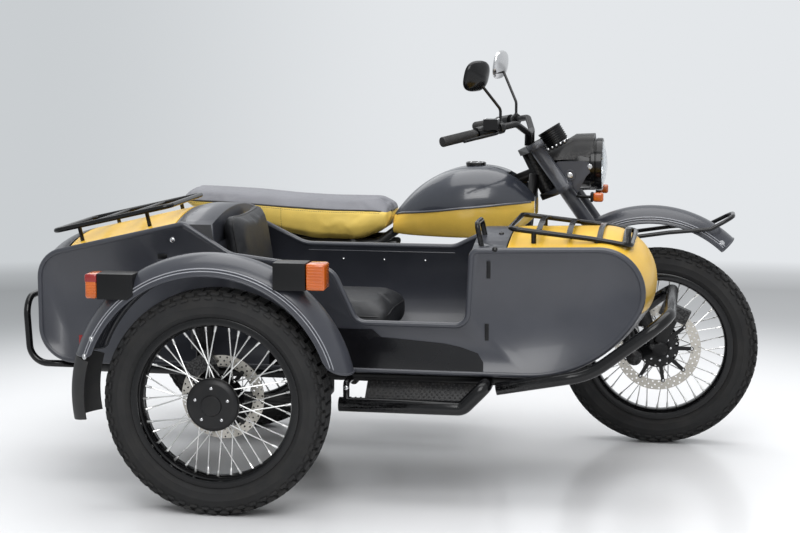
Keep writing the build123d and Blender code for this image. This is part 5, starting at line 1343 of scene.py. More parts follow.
@dataclass
class SidecarSeat:
    """Cushion and backrest of the sidecar, with piping; in millimetres."""

    seat_low: tuple[float, float, float] = (266.5, -845.0, 464.3)
    seat_high: tuple[float, float, float] = (675.0, -415.0, 594.3)
    back_low: float = 612.0
    back_top: float = 872.0
    back_foot: float = 155.5
    back_lean: float = 0.159
    back_thick: float = 62.0
    back_half: float = 205.0

    @staticmethod
    def pillow(centre: Vector, halves: Point, turn: Matrix, crown: float) -> Form:
        """A crowned pad whose sides pull in between its corners.

        Args:
            centre: Its middle.
            halves: Half lengths along its own three axes, thickness last.
            turn: Its rotation.
            crown: How much thicker its middle is, as a share.

        Returns:
            The closed form.
        """
        rows = []
        for r in range(1, 24):
            b = -math.pi / 2 + math.pi * r / 24
            row = []
            for k in range(56):
                a = TURN * k / 56
                u = eased(math.cos(a), 0.22) * abs(math.cos(b)) ** 0.2
                v = eased(math.sin(a), 0.22) * abs(math.cos(b)) ** 0.2
                w = eased(math.sin(b), 0.7)
                pull = 1 - 0.03 * (1 - min(abs(u), abs(v)) ** 2)
                thick = halves[2] * w * (1 - crown + crown * (1 - u * u) * (1 - v * v))
                row.append(centre + turn @ Vector((halves[0] * u * pull, halves[1] * v * pull, thick)))
            rows.append(row)
        form = Form().grid(rows, ring=True)
        return form.cap(rows[0]).cap(rows[-1])

    def build(self) -> None:
        """Builds the cushion and the backrest with their piping."""
        low, high = at(*self.seat_low), at(*self.seat_high)
        centre, halves = (low + high) / 2, (high - low) / 2
        flat = Matrix.Identity(3)
        seat = puffed(self.pillow(centre, (halves.x - 0.012, halves.y - 0.012, halves.z - 0.006), flat, 0.12), 0.014)
        pad = place_piece("sidecar_seat_pad", seat, "chassis", VINYL_BLACK, replaces=["sidecar_cushion"])
        self.piping("sidecar_seat_piping", seat, centre, flat, (halves.x, halves.y), 0.36 * halves.z)
        middle_z = (self.back_low + self.back_top) / 2
        x = self.back_foot - (middle_z - self.back_low) * self.back_lean + self.back_thick / 2
        turn = Matrix.Rotation(-math.atan(self.back_lean), 3, "Y") @ Matrix(((0, 0, 1), (0, 1, 0), (-1, 0, 0)))
        centre = at(x, -630.0, middle_z)
        halves = ((self.back_top - self.back_low) / 2 - 6, self.back_half - 8, self.back_thick / 2 - 5)
        back = puffed(self.pillow(centre, tuple(h * MM for h in halves), turn, 0.2), 0.012)
        pad = place_piece("sidecar_back_pad", back, "chassis", VINYL_BLACK, replaces=["sidecar_backrest"])
        self.piping("sidecar_back_piping", back, centre, turn, (halves[0] * MM, halves[1] * MM), 0.3 * halves[2] * MM)

    @staticmethod
    def piping(name: str, mesh: bpy.types.Mesh, centre: Vector, turn: Matrix, halves: tuple[float, float],
               height: float) -> None:
        """Lays a piping cord round a pad, at a height off its middle plane."""
        tree = surface(mesh)
        route = []
        for k in range(120):
            a = TURN * k / 120
            out = turn @ Vector((halves[0] * math.cos(a), halves[1] * math.sin(a), 0)) * 1.6
            base = centre + turn @ Vector((0, 0, height))
            met = tree.ray_cast(base + out, -out.normalized())[0]
            if met:
                route.append(met)
        Form().tube(smoothed(route, 2, True), 2.8 * MM, sides=8, closed=True).piece(name, "chassis", PIPING)


# Tank, lamps and bars


@dataclass
class Tank:
    """Two-tone tank with the pressed lip between its halves; in millimetres."""

    lip: tuple[tuple[float, float], ...] = ((540.0, 786.0), (570.0, 797.0), (685.0, 810.7), (789.0, 824.8),
                                            (927.0, 837.7), (1040.0, 846.0))
    cap_x: float = 824.0
    cap_z: float = 958.0
    cap_radius: float = 34.0

    def build(self) -> None:
        """Builds the shell, the lip and the cap's rim."""
        def cap(middle: Vector, normal: Vector) -> int:
            """Marks the filler cap."""
            place = in_source(middle)
            near = math.hypot(place.x - self.cap_x, place.y) < self.cap_radius + 0.5
            return 1 if near and place.z > self.cap_z - 6 else 0
        tank = dressed_copy("fuel_tank", "chassis", TANK_PAINT, GLOSS_BLACK, pick=cap)
        mark_seam(tank.data, lambda x: between(self.lip, x))
        skin = Skin("fuel_tank")
        form = Form()
        for side_y in (-1, 1):
            route = []
            for k in range(60):
                x = 553.0 + (1026.0 - 553.0) * k / 59
                met = skin.hit(at(x, side_y * 260.0, between(self.lip, x)), Vector((0, -side_y, 0)))
                if met:
                    route.append(met[0])
            form.tube(smoothed(route, 2, False), 4.2 * MM, sides=12)
        # Lighter grey than the tank's paint: painted highlight along the pressed lip.
        form.piece("tank_lip", "chassis", TANK_LIP_HIGHLIGHT)
        rim = mm_pairs([(28.0, 13.0), (31.0, 15.4), (33.4, 15.4), (35.4, 13.6), (35.4, 6.0), (28.0, 6.0)])
        cap_place = at(self.cap_x, 0, self.cap_z)
        Form().turned(rim, cap_place, UP, steps=48).piece("tank_cap_rim", "chassis", GLOSS_BLACK)
        spots = [(at(self.cap_x + 22 * math.cos(TURN * k / 5), 22 * math.sin(TURN * k / 5), self.cap_z + 14), UP)
                 for k in range(5)]
        fasteners("tank_cap_screws", "chassis", BRIGHT_STEEL, spots, dome_form(0.0032, 0.0016))


@dataclass
class Headlamp:
    """Lamp bucket with reflector and domed glass, hood, speedometer pod and ears; in millimetres."""

    front: float = 1268.0
    height: float = 972.0
    depth: float = 172.0
    glass_radius: float = 82.4
    glass_rise: float = 16.0
    ear_y: float = 87.6
    pod_top: Point = (1078.0, 0.0, 1092.0)
    pod_base: Point = (1108.7, 0.0, 1042.8)

    def build(self) -> None:
        """Builds all of its pieces."""
        rear = at(self.front - self.depth, 0.0, self.height)
        ahead = Vector((1, 0, 0))
        shell = [(0, 2), (40, 0), (50, 0.5), (62, 18), (75, 43), (82, 68), (86.5, 98), (86.5, 130), (88, 131.4),
                 (90.2, 132.6), (90.6, 135), (90.6, 146.5), (88.6, 148.4), (88.6, 150.4), (91, 152.4), (91, 168),
                 (90.2, 171), (88.4, 172), (85.4, 171.6), (83.6, 169.6), (82.8, 160), (80.6, 154), (72, 134),
                 (58, 117), (36, 104), (0, 98)]
        form = Form().turned(mm_pairs(shell), rear, ahead, steps=96, closed=False)
        form.piece("lamp_bucket", "steering", GLOSS_BLACK, replaces=["headlight"])
        bowl = [(82.7, 169.2), (82.2, 163.0), (81.6, 158.4), (79.6, 153.4), (71, 133.6), (57.4, 116.8), (35.8, 104.6),
                (12, 100.4), (12, 99.2), (35.8, 103.2), (58, 115.6), (72, 132.6), (81, 153), (83.4, 163.0),
                (83.6, 169.2)]
        form = Form().turned(mm_pairs(bowl), rear, ahead, steps=96)
        form.turned(mm_pairs([(0, 122), (7, 121), (10, 116), (10, 99), (0, 99)]), rear, ahead, steps=24, closed=False)
        form.piece("lamp_reflector", "steering", BRIGHT_STEEL, smooth=50)
        sphere = (self.glass_radius ** 2 + self.glass_rise ** 2) / (2 * self.glass_rise)
        radii = [self.glass_radius * math.sin(k * math.pi / 32) for k in range(17)]
        outer = [(r, 170.4 + self.glass_rise - sphere + math.sqrt(sphere ** 2 - r * r)) for r in radii]
        inner = [(min(r, 80.6), y - 2.6) for r, y in reversed(outer)]
        glass = Form().turned(mm_pairs(outer + [(self.glass_radius, 165.0), (80.6, 165.0)] + inner), rear, ahead,
                              steps=96, closed=False)
        glass.piece("lamp_glass_dome", "steering", CLEAR_GLASS, replaces=["headlight_glass"])
        self.pod()
        self.hood_and_ears()

    def pod(self) -> None:
        """Ribbed speedometer pod with its dial glass and rim."""
        base, top = at(*self.pod_base), at(*self.pod_top)
        up = (top - base).normalized()
        profile: list[tuple[float, float]] = [(0, -2), (36, -2), (40, 0)]
        for rib in range(6):
            y = 4.0 + rib * 7.6
            profile += [(40.2, y), (42.6, y + 1.0), (43.0, y + 2.6), (42.6, y + 4.2), (40.2, y + 5.2)]
        profile += [(41.0, 50.6), (43.0, 52.0), (43.0, 57.0), (41.6, 58.2), (39.6, 58.2), (38.8, 56.0), (0, 55.4)]
        form = Form().turned(mm_pairs(profile), base, up, steps=64, closed=False)
        form.piece("speedometer_pod", "steering", PLASTIC_BLACK)
        dial = mm_pairs([(0, 55.9), (38.4, 55.9), (38.4, 56.9), (20, 57.7), (0, 57.9)])
        form = Form().turned(dial, base, up, steps=48, closed=False)
        form.piece("speedometer_dial", "steering", GLOSS_BLACK)

    def hood_and_ears(self) -> None:
        """Wedge hood over the bucket with its row of bolts, and both ears with their bosses."""
        outline = ((1044.0, 996.0, 50.0), (1064.0, 1016.0, 58.0), (1150.0, 1060.0, 66.0), (1173.0, 1075.0, 66.0),
                   (1238.0, 1078.0, 70.0))
        low = (1040.0, 990.0), (1084.0, 974.0), (1106.0, 990.0), (1160.0, 993.0), (1240.0, 994.0)
        rows = []
        for (x, z, half), (low_x, low_z) in zip(outline, low):
            crown = []
            for k in range(25):
                a = math.pi * k / 24
                u, v = math.cos(a), math.sin(a) ** 0.32
                side = eased(u, 0.5) * (half + 14.0 * (1 - v))
                crown.append(at(low_x + (x - low_x) * v, side, low_z + (z - low_z) * v))
            rows.append(crown)
        fine = []
        for first, second in zip(rows, rows[1:]):
            for k in range(5):
                fine.append([a + (b - a) * (k / 5) for a, b in zip(first, second)])
        fine.append(rows[-1])
        hood = Form().grid(fine, ring=True)
        hood.cap(fine[0]).cap(fine[-1])
        hood.piece("lamp_hood", "steering", SATIN_BLACK, smooth=38)
        spots = []
        for k in range(6):
            share = (k + 0.4) / 6
            for side in (-1, 1):
                place = at(1062.0 + 84.0 * share, side * (53.0 + 7.0 * share), 1014.5 + 43.0 * share)
                spots.append((place, Vector((-0.45, side * 0.2, 0.87))))
        fasteners("lamp_hood_bolts", "steering", BRIGHT_STEEL, spots, dome_form(0.0046, 0.004))
        ears, bosses = Form(), []
        for side in (-1, 1):
            corners = [(1095.0, 964.0), (1118.0, 986.0), (1204.0, 988.0), (1240.0, 980.0), (1238.0, 958.0),
                       (1216.0, 936.0), (1186.0, 878.0), (1166.0, 862.0), (1150.0, 866.0)]
            path = rounded([at(x, side * self.ear_y, z) for x, z in corners], 8 * MM, 5, True)
            ears.slab(path, Vector((0, side * -5.0, 0)) * MM, 1.4 * MM)
            boss = at(1160.0, side * (self.ear_y - 1), 939.0)
            ears.turned(mm_pairs([(0, 0), (20, 0), (20, 3.0), (18.4, 5.0), (11, 5.0), (10, 3.4), (0, 3.4)]), boss,
                        Vector((0, side, 0)), steps=36, closed=False)
            bosses.append((at(1160.0, side * (self.ear_y + 2.4), 939.0), Vector((0, side, 0))))
            bosses.append((at(1229.0, side * self.ear_y, 970.0), Vector((0, side, 0))))
        ears.piece("lamp_ears", "steering", PAINT_GREY)
        fasteners("lamp_ear_bolts", "steering", BRIGHT_STEEL, bosses, bolt_form(0.015, 0.007, 0.010))


@dataclass
class Lamps:
    """Turn lamps on the fork, lamp boxes on the sidecar's mudguard, and the tail lamp; in millimetres."""

    turn_x: float = 1280.0
    turn_z: float = 872.0
    turn_y: float = 150.0

    def build(self) -> None:
        """Builds every lamp besides the headlamp."""
        shells, lenses = Form(), Form()
        for side in (-1, 1):
            shells.block(at(self.turn_x - 39.0, side * self.turn_y, self.turn_z), (0.011, 0.034, 0.032), 0.004)
            stalk = ((1190.0, 132.0), (1205.0, 146.0), (self.turn_x - 40.0, self.turn_y))
            shells.tube([at(x, side * y, self.turn_z) for x, y in stalk], 5.5 * MM, sides=12)
            lenses.block(at(self.turn_x - 17.7, side * self.turn_y, self.turn_z), (0.0344, 0.033, 0.031), 0.007)
            for rib in range(5):
                spot = at(self.turn_x - 3.2, side * self.turn_y, self.turn_z - 10.0 + 5.0 * rib)
                lenses.block(spot, (0.005, 0.022, 0.0026), 0.001, 1)
        shells.piece("turn_lamp_shells", "steering", PLASTIC_BLACK, replaces=["front_indicators"])
        lenses.piece("turn_lamp_lenses", "steering", LENS_AMBER)
        self.boxes()
        self.tail()

    def boxes(self) -> None:
        """Lamp boxes with rounded edges, and their ribbed lenses."""
        dressed_copy("lamp_housings", "chassis", PLASTIC_BLACK, smooth=40, edge=0.006)
        ribs, red = Form(), Form()
        low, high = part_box("lamp_lenses")
        corners = [v.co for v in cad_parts["lamp_lenses"].data.vertices]
        for ahead in (True, False):
            points = [p for p in corners if (p.x > (low.x + high.x) / 2) == ahead]
            near = Vector([min(p[i] for p in points) for i in range(3)])
            far = Vector([max(p[i] for p in points) for i in range(3)])
            size, middle = far - near, (near + far) / 2
            ribs.block(middle, tuple(size - Vector((0.002, 0.002, 0.002))), 0.007)
            for rib in range(1, 9):
                spot = Vector((middle.x, near.y + 0.0012, near.z + size.z * rib / 9))
                ribs.block(spot, (size.x * 0.82, 0.0024, 0.0032), 0.0011, 1)
            if not ahead:
                cap = Vector((middle.x, middle.y, far.z - size.z * 0.2))
                red.block(cap, (size.x + 0.0004, size.y + 0.0004, size.z * 0.36), 0.006)
        ribs.piece("ribbed_lenses", "chassis", LENS_AMBER, replaces=["lamp_lenses"])
        red.piece("red_rear_lens", "chassis", LENS_RED)

    def tail(self) -> None:
        """Tail lamp and its blank plate."""
        low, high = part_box("tail_lamp")

        def sort(middle: Vector, normal: Vector) -> int:
            """Tells the lamp from the plate."""
            return 1 if middle.x < low.x + 0.0035 and middle.z < high.z - 0.0605 else 0
        dressed_copy("tail_lamp", "chassis", LENS_RED, PLATE_WHITE, smooth=40, edge=0.003, pick=sort)


@dataclass
class Bars:
    """Handlebar, grips, controls and mirrors; in millimetres."""

    end: Point = (768.0, 425.0, 1072.0)
    elbow: Point = (985.0, 200.0, 1120.0)
    grip_share: float = 0.42
    mirror_x: float = 872.0
    mirror_y: float = 345.0
    mirror_wide: float = 57.0
    mirror_tall: float = 52.0

    def point(self, side: int, share: float) -> Vector:
        """A point of the bar's outer run on one side."""
        end = at(self.end[0], side * self.end[1], self.end[2])
        elbow = at(self.elbow[0], side * self.elbow[1], self.elbow[2])
        return end + (elbow - end) * share

    def build(self) -> None:
        """Builds the bar and all that it carries."""
        dressed_copy("handlebar", "steering", SATIN_BLACK)
        dressed_copy("hand_controls", "steering", PLASTIC_BLACK)
        self.grips()
        self.mirrors()
        self.trim()

    def grips(self) -> None:
        """Ribbed rubber grips with a flange at their inner end."""
        form = Form()
        for side in (-1, 1):
            low, high = self.point(side, 0.0), self.point(side, self.grip_share)
            along = (high - low).normalized()
            length = (high - low).length / MM
            profile: list[tuple[float, float]] = [(0, -3.0), (12.0, -3.0), (16.2, -2.0), (17.0, 0.6), (17.0, 6.0)]
            rib = 9.0
            while rib < length - 16.0:
                profile += [(15.0, rib), (16.7, rib + 1.2), (16.9, rib + 2.6), (16.7, rib + 4.0), (15.0, rib + 5.2)]
                rib += 6.6
            profile += [(15.4, length - 9), (16.2, length - 7.0), (17.0, length - 5.4), (17.0, length - 1),
                        (12.0, length), (11.4, length)]
            form.turned(mm_pairs(profile), low, along, steps=36, closed=False)
        form.piece("ribbed_grips", "steering", SOFT_RUBBER, replaces=["grips"], smooth=50)

    def mirrors(self) -> None:
        """Bulging mirror shells with their faces, bent stems and clamps."""
        shells, bright, faces = Form(), Form(), Form()
        round_turns = [TURN * k / 64 for k in range(64)]
        rounds = [(eased(math.cos(a), 0.72), eased(math.sin(a), 0.72)) for a in round_turns]
        for side, top_z in ((-1, 1283.0), (1, 1303.0)):
            base = self.point(side, self.grip_share + 0.36)
            along = (self.point(side, 1.0) - base).normalized()
            head = at(self.mirror_x, side * self.mirror_y, top_z)
            turn = Matrix.Rotation(math.radians(-36.0 if side < 0 else -16.0), 3, "Z")
            turn = turn @ Matrix.Rotation(math.radians(14.0 if side < 0 else 8.0), 3, "Y")
            clamp = [(11.2, -8.0), (19.0, -8.0), (20.0, -6.5), (20.0, 6.5), (19.0, 8.0), (11.2, 8.0)]
            shells.turned(mm_pairs(clamp), base, along, steps=32)
            foot = base + UP * 16.0 * MM
            path = rounded([foot, base + UP * 62.0 * MM, head + turn @ Vector((4.0, 0, -12.0)) * MM], 22 * MM, 8)
            shells.tube(path, 5.0 * MM, sides=14)
            shells.turned(mm_pairs([(0, -6.0), (8.5, -6.0), (8.5, 4.0), (6.0, 6.0), (0, 6.0)]), foot, UP, steps=6,
                          closed=False)
            rows = []
            for share, depth in ((0.02, 20.0), (0.16, 19.4), (0.34, 17.2), (0.55, 13.2), (0.76, 8.0), (0.9, 3.2),
                                 (0.97, -1.0), (1.0, -5.0), (1.0, -9.0), (0.985, -10.6), (0.94, -11.0), (0.02, -11.0)):
                wide, tall = self.mirror_wide * share, self.mirror_tall * share
                rows.append([head + turn @ Vector((depth, wide * u, tall * v)) * MM for u, v in rounds])
            (shells if side < 0 else bright).grid(rows, ring=True).cap(rows[0]).cap(rows[-1])
            glass = [head + turn @ Vector((-10.9, (self.mirror_wide - 4) * u, (self.mirror_tall - 4) * v)) * MM
                     for u, v in rounds]
            faces.slab(glass, turn @ Vector((-1.0, 0, 0)) * MM)
        shells.piece("mirror_shells_and_stems", "steering", GLOSS_BLACK, replaces=["mirrors"], smooth=42)
        bright.piece("left_mirror_shell", "steering", BRIGHT_STEEL, smooth=42)
        faces.piece("mirror_faces", "steering", MIRROR)

    def trim(self) -> None:
        """Four screws on the lid of the brake fluid's reservoir."""
        middle = (self.point(-1, self.grip_share + 0.03) + self.point(-1, self.grip_share + 0.27)) / 2
        top = middle + Vector((21.0, 0, 42.2)) * MM
        spots = [(top + Vector((x, y, -0.2)) * MM, UP) for x in (-22.0, 22.0) for y in (-17.0, 17.0)]
        fasteners("reservoir_screws", "steering", BRIGHT_STEEL, spots, dome_form(0.0034, 0.0018))


# Frame, sidecar and engine


def on_skin(skin: Skin, start: Vector, along: Vector) -> list[tuple[Vector, Vector]]:
    """One spot on a skin with its facing, or nothing if the ray misses."""
    met = skin.hit(start, along)
    return [(met[0], met[1] if met[1].dot(along) < 0 else -met[1])] if met else []


@dataclass
class Chassis:
    """Frame, engine, exhaust and the motorcycle's small parts."""

    def build(self) -> None:
        """Dresses the nodes and adds fasteners."""
        dressed_copy("frame", "chassis", SATIN_BLACK)
        dressed_copy("rear_suspension", "chassis", SATIN_BLACK)
        dressed_copy("exhaust", "chassis", EXHAUST_BLACK)
        dressed_copy("side_covers", "chassis", PAINT_GREY, smooth=40, edge=0.0012)
        dressed_copy("engine_case", "chassis", ENGINE_BLACK)
        self.cylinders()
        self.fork()
        dressed_copy("front_suspension", "steering", SATIN_BLACK)
        dressed_copy("fender_loop", "steering", GLOSS_BLACK)

    def cylinders(self) -> None:
        """Finned cylinders with light heads."""
        low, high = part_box("cylinders")

        def heads(middle: Vector, normal: Vector) -> int:
            """Tells the outer heads from the finned barrels."""
            return 1 if abs(middle.y - SHIFT.y) > high.y - SHIFT.y - 0.079 else 0
        dressed_copy("cylinders", "chassis", ENGINE_BLACK, CAST_ALLOY, pick=heads)
        skin, spots = Skin("cylinders"), []
        for side in (-1, 1):
            for x in (-45.0, 45.0):
                for z in (-30.0, 30.0):
                    start = at(655.0 + x, side * 600.0, 415.0 + z)
                    spots += on_skin(skin, start, Vector((0, -side, 0)))
        fasteners("head_bolts", "chassis", BRIGHT_STEEL, spots, bolt_form(0.012, 0.007, 0.009))

    def fork(self) -> None:
        """Fork with its covered upper legs and the bolts of its yokes."""
        def covers(middle: Vector, normal: Vector) -> int:
            """Marks the upper legs."""
            place = in_source(middle)
            return 1 if abs(place.y) > 86 and place.z > 745 else 0
        dressed_copy("fork", "steering", SATIN_BLACK, PAINT_GREY, pick=covers)
        caps = Form()
        for side in (-1, 1):
            top, knee = at(1047.0, side * 112.0, 1032.0), at(1262.0, side * 112.0, 730.0)
            along = (top - knee).normalized()
            profile = [(0, -1.0), (24.0, -1.0), (24.0, 1.5), (21.0, 3.5), (13.0, 4.0), (13.0, 7.5), (0, 7.5)]
            caps.turned(mm_pairs(profile), top, along, steps=32, closed=False)
        caps.piece("fork_caps", "steering", BRIGHT_STEEL)


@dataclass
class Sidecar:
    """The sidecar's shell, rails, racks and small fittings; in millimetres."""

    out_y: float = -915.0
    in_y: float = -345.0
    tail_y: float = -630.0
    tail_half: float = 278.5
    tail_rise: float = 34.0
    tail_sheet: float = 4.0
    floor_z: float = 404.6

    def build(self) -> None:
        """Dresses its nodes and adds hems, bolts, latches and studs."""
        def padded_sides(middle: Vector, normal: Vector) -> int:
            """Marks the covered side faces beside the backrest."""
            place = in_source(middle)
            beside = -60 < place.x < 175 and place.z > 690 and self.out_y + 0.7 < place.y < self.in_y - 0.7
            return 1 if beside and abs(normal.y) > 0.8 else 0
        dressed_copy("sidecar_body", "chassis", PAINT_GREY, VINYL_BLACK, pick=padded_sides, smooth=32)
        dressed_copy("sidecar_nose", "chassis", PAINT_YELLOW, smooth=32)
        dressed_copy("trunk_lid", "trunk_lid", PAINT_YELLOW, smooth=32)
        dressed_copy("lid_rack", "trunk_lid", GLOSS_BLACK)
        dressed_copy("body_rails", "chassis", GLOSS_BLACK)
        dressed_copy("sidecar_frame", "chassis", SATIN_BLACK)
        dressed_copy("sidecar_suspension", "chassis", SATIN_BLACK)
        dressed_copy("guard_bars", "chassis", GLOSS_BLACK)
        dressed_copy("mudflap", "chassis", SOFT_RUBBER, smooth=40, edge=0.0012)
        self.tail_panel()
        self.fittings()
        self.tread()

    def tail_panel(self) -> None:
        """Arched panel that closes the tail between the side sheets, from the floor up to the lid."""
        half, rise = self.tail_half, self.tail_rise
        corners = (-300.0, 404.0), (-440.0, 404.0), (-440.0, 735.0), (-356.7, 754.1)
        run = rounded([Vector((x, 0.0, z)) for x, z in corners], [104.9, 85.2], 16)
        bow = (half ** 2 + rise ** 2) / (2 * rise)
        rows = []
        for depth, order in ((0.0, range(33)), (self.tail_sheet, range(32, -1, -1))):
            for k in order:
                y = half * (k / 16 - 1)
                lift = math.sqrt(bow ** 2 - y ** 2) - bow + rise - depth
                row = []
                for i, point in enumerate(run):
                    heading = (run[min(i + 1, len(run) - 1)] - run[max(i - 1, 0)]).normalized()
                    place = point + Vector((-heading.z, 0.0, heading.x)) * lift
                    row.append(at(place.x, self.tail_y + y, max(place.z, self.floor_z + depth * 0.3)))
                rows.append(row)
        form = Form().grid(rows, loop=True)
        for end in (0, len(run) - 1):
            form.grid([[rows[i][end] for i in range(33)], [rows[65 - i][end] for i in range(33)]])
        form.piece("sidecar_tail_panel", "chassis", PAINT_GREY, smooth=40)

    def fittings(self) -> None:
        """Studs, lock, slots, a near-black strip of painted shade and the reflector on the body's near side."""
        skin = Skin("sidecar_body")
        across = Vector((0, 1, 0))
        lock = on_skin(skin, at(-5.0, -1100.0, 794.0), across)
        studs = on_skin(skin, at(999.0, -1100.0, 812.0), across) + on_skin(skin, at(1000.0, -1100.0, 788.0), across)
        fasteners("body_lock", "chassis", BRIGHT_STEEL, lock, dome_form(0.009, 0.004))
        fasteners("cowl_studs", "chassis", GLOSS_BLACK, studs, dome_form(0.0085, 0.005))
        slots = Form()
        for x, z in ((981.0, 724.0), (977.0, 534.0)):
            slots.block(at(x, self.out_y - 0.6, z), (0.012, 0.003, 0.052), 0.0012, 2)
        slots.block(at(-38.0, self.out_y - 0.6, 742.0), (0.030, 0.004, 0.016), 0.0014, 2)
        slots.piece("body_slots", "chassis", PLASTIC_BLACK)
        # Painted shade: a near-black sheet over the body's lower side, where it falls dark below the cockpit.
        edge = ((300.0, 532.0), (625.0, 532.0), (652.0, 509.0), (711.0, 505.0), (846.0, 495.0), (895.0, 486.0),
                (950.0, 468.0), (967.0, 440.0), (967.0, 408.0), (300.0, 408.0))
        shade_outline = rounded([at(x, self.out_y, z) for x, z in edge], 9 * MM, 5, True)
        Form().slab(shade_outline, Vector((0, -1.6, 0)) * MM, 0.6 * MM).piece("belly_strip", "chassis", SHADE_STRIP_BLACK)
        self.hem()
        patch = Form().block(at(-300.0, self.out_y - 1.5, 465.0), (0.032, 0.005, 0.042), 0.002, 2)
        patch.piece("side_reflector", "chassis", LENS_RED)

    def hem(self) -> None:
        """Pressed line along the cockpit's far wall, below its bead, with a few rivets."""
        inner = self.in_y - 8.0
        run = [at(300.0 + 25.0 * k, inner, 697.0) for k in range(21)]
        Form().tube(run, 1.8 * MM, sides=8).piece("cockpit_hem", "chassis", PAINT_GREY)
        spots = [(at(x, inner, z), Vector((0, -1, 0))) for x, z in ((420.0, 668.0), (560.0, 668.0), (700.0, 668.0))]
        fasteners("cockpit_rivets", "chassis", BRIGHT_STEEL, spots, dome_form(0.0045, 0.0025))

    def tread(self) -> None:
        """The step's sheet with its bolts, and raised studs on it and on the plate below."""
        skin = Skin("guard_bars")
        spots = []
        for row in range(9):
            for column in range(26):
                x = 548.0 + 16.2 * column + (8.1 if row % 2 else 0.0)
                y = -957.0 + 8.2 * row
                met = skin.hit(at(x, y, 380.0), Vector((0, 0, -1)))
                if met and met[1].z > 0.97:
                    spots.append((met[0], UP))
        low, high = Vector((0, -948.0, 320.0)), Vector((0, -892.0, 371.0))
        slope = (high - low).normalized()
        facing = Vector((0, -slope.z, slope.y))
        corners = [(606.0, 0.0), (955.0, 0.0), (972.0, 0.5), (972.0, 1.0), (606.0, 1.0)]
        sheet = [at(x, *(low + (high - low) * share)[1:]) for x, share in corners]
        plate = Form().slab(sheet, facing * -2.5 * MM, 0.8 * MM)
        plate.piece("step_sheet", "chassis", SATIN_BLACK)
        for row in range(7):
            for column in range(21):
                x = 620.0 + 16.0 * column + (8.0 if row % 2 else 0.0)
                place = low + (high - low) * ((row + 0.6) / 7.4)
                spots.append((at(x, place.y, place.z), facing))
        bar = [*on_skin(skin, at(554.0, -1100.0, 404.0), Vector((0, 1, 0))),
               *on_skin(skin, at(554.0, -1100.0, 358.0), Vector((0, 1, 0)))]
        fasteners("step_bolts", "chassis", BRIGHT_STEEL, bar, dome_form(0.0075, 0.004))
        fasteners("step_tread", "chassis", SATIN_BLACK, spots, dome_form(0.0034, 0.0016))


# Studio and camera


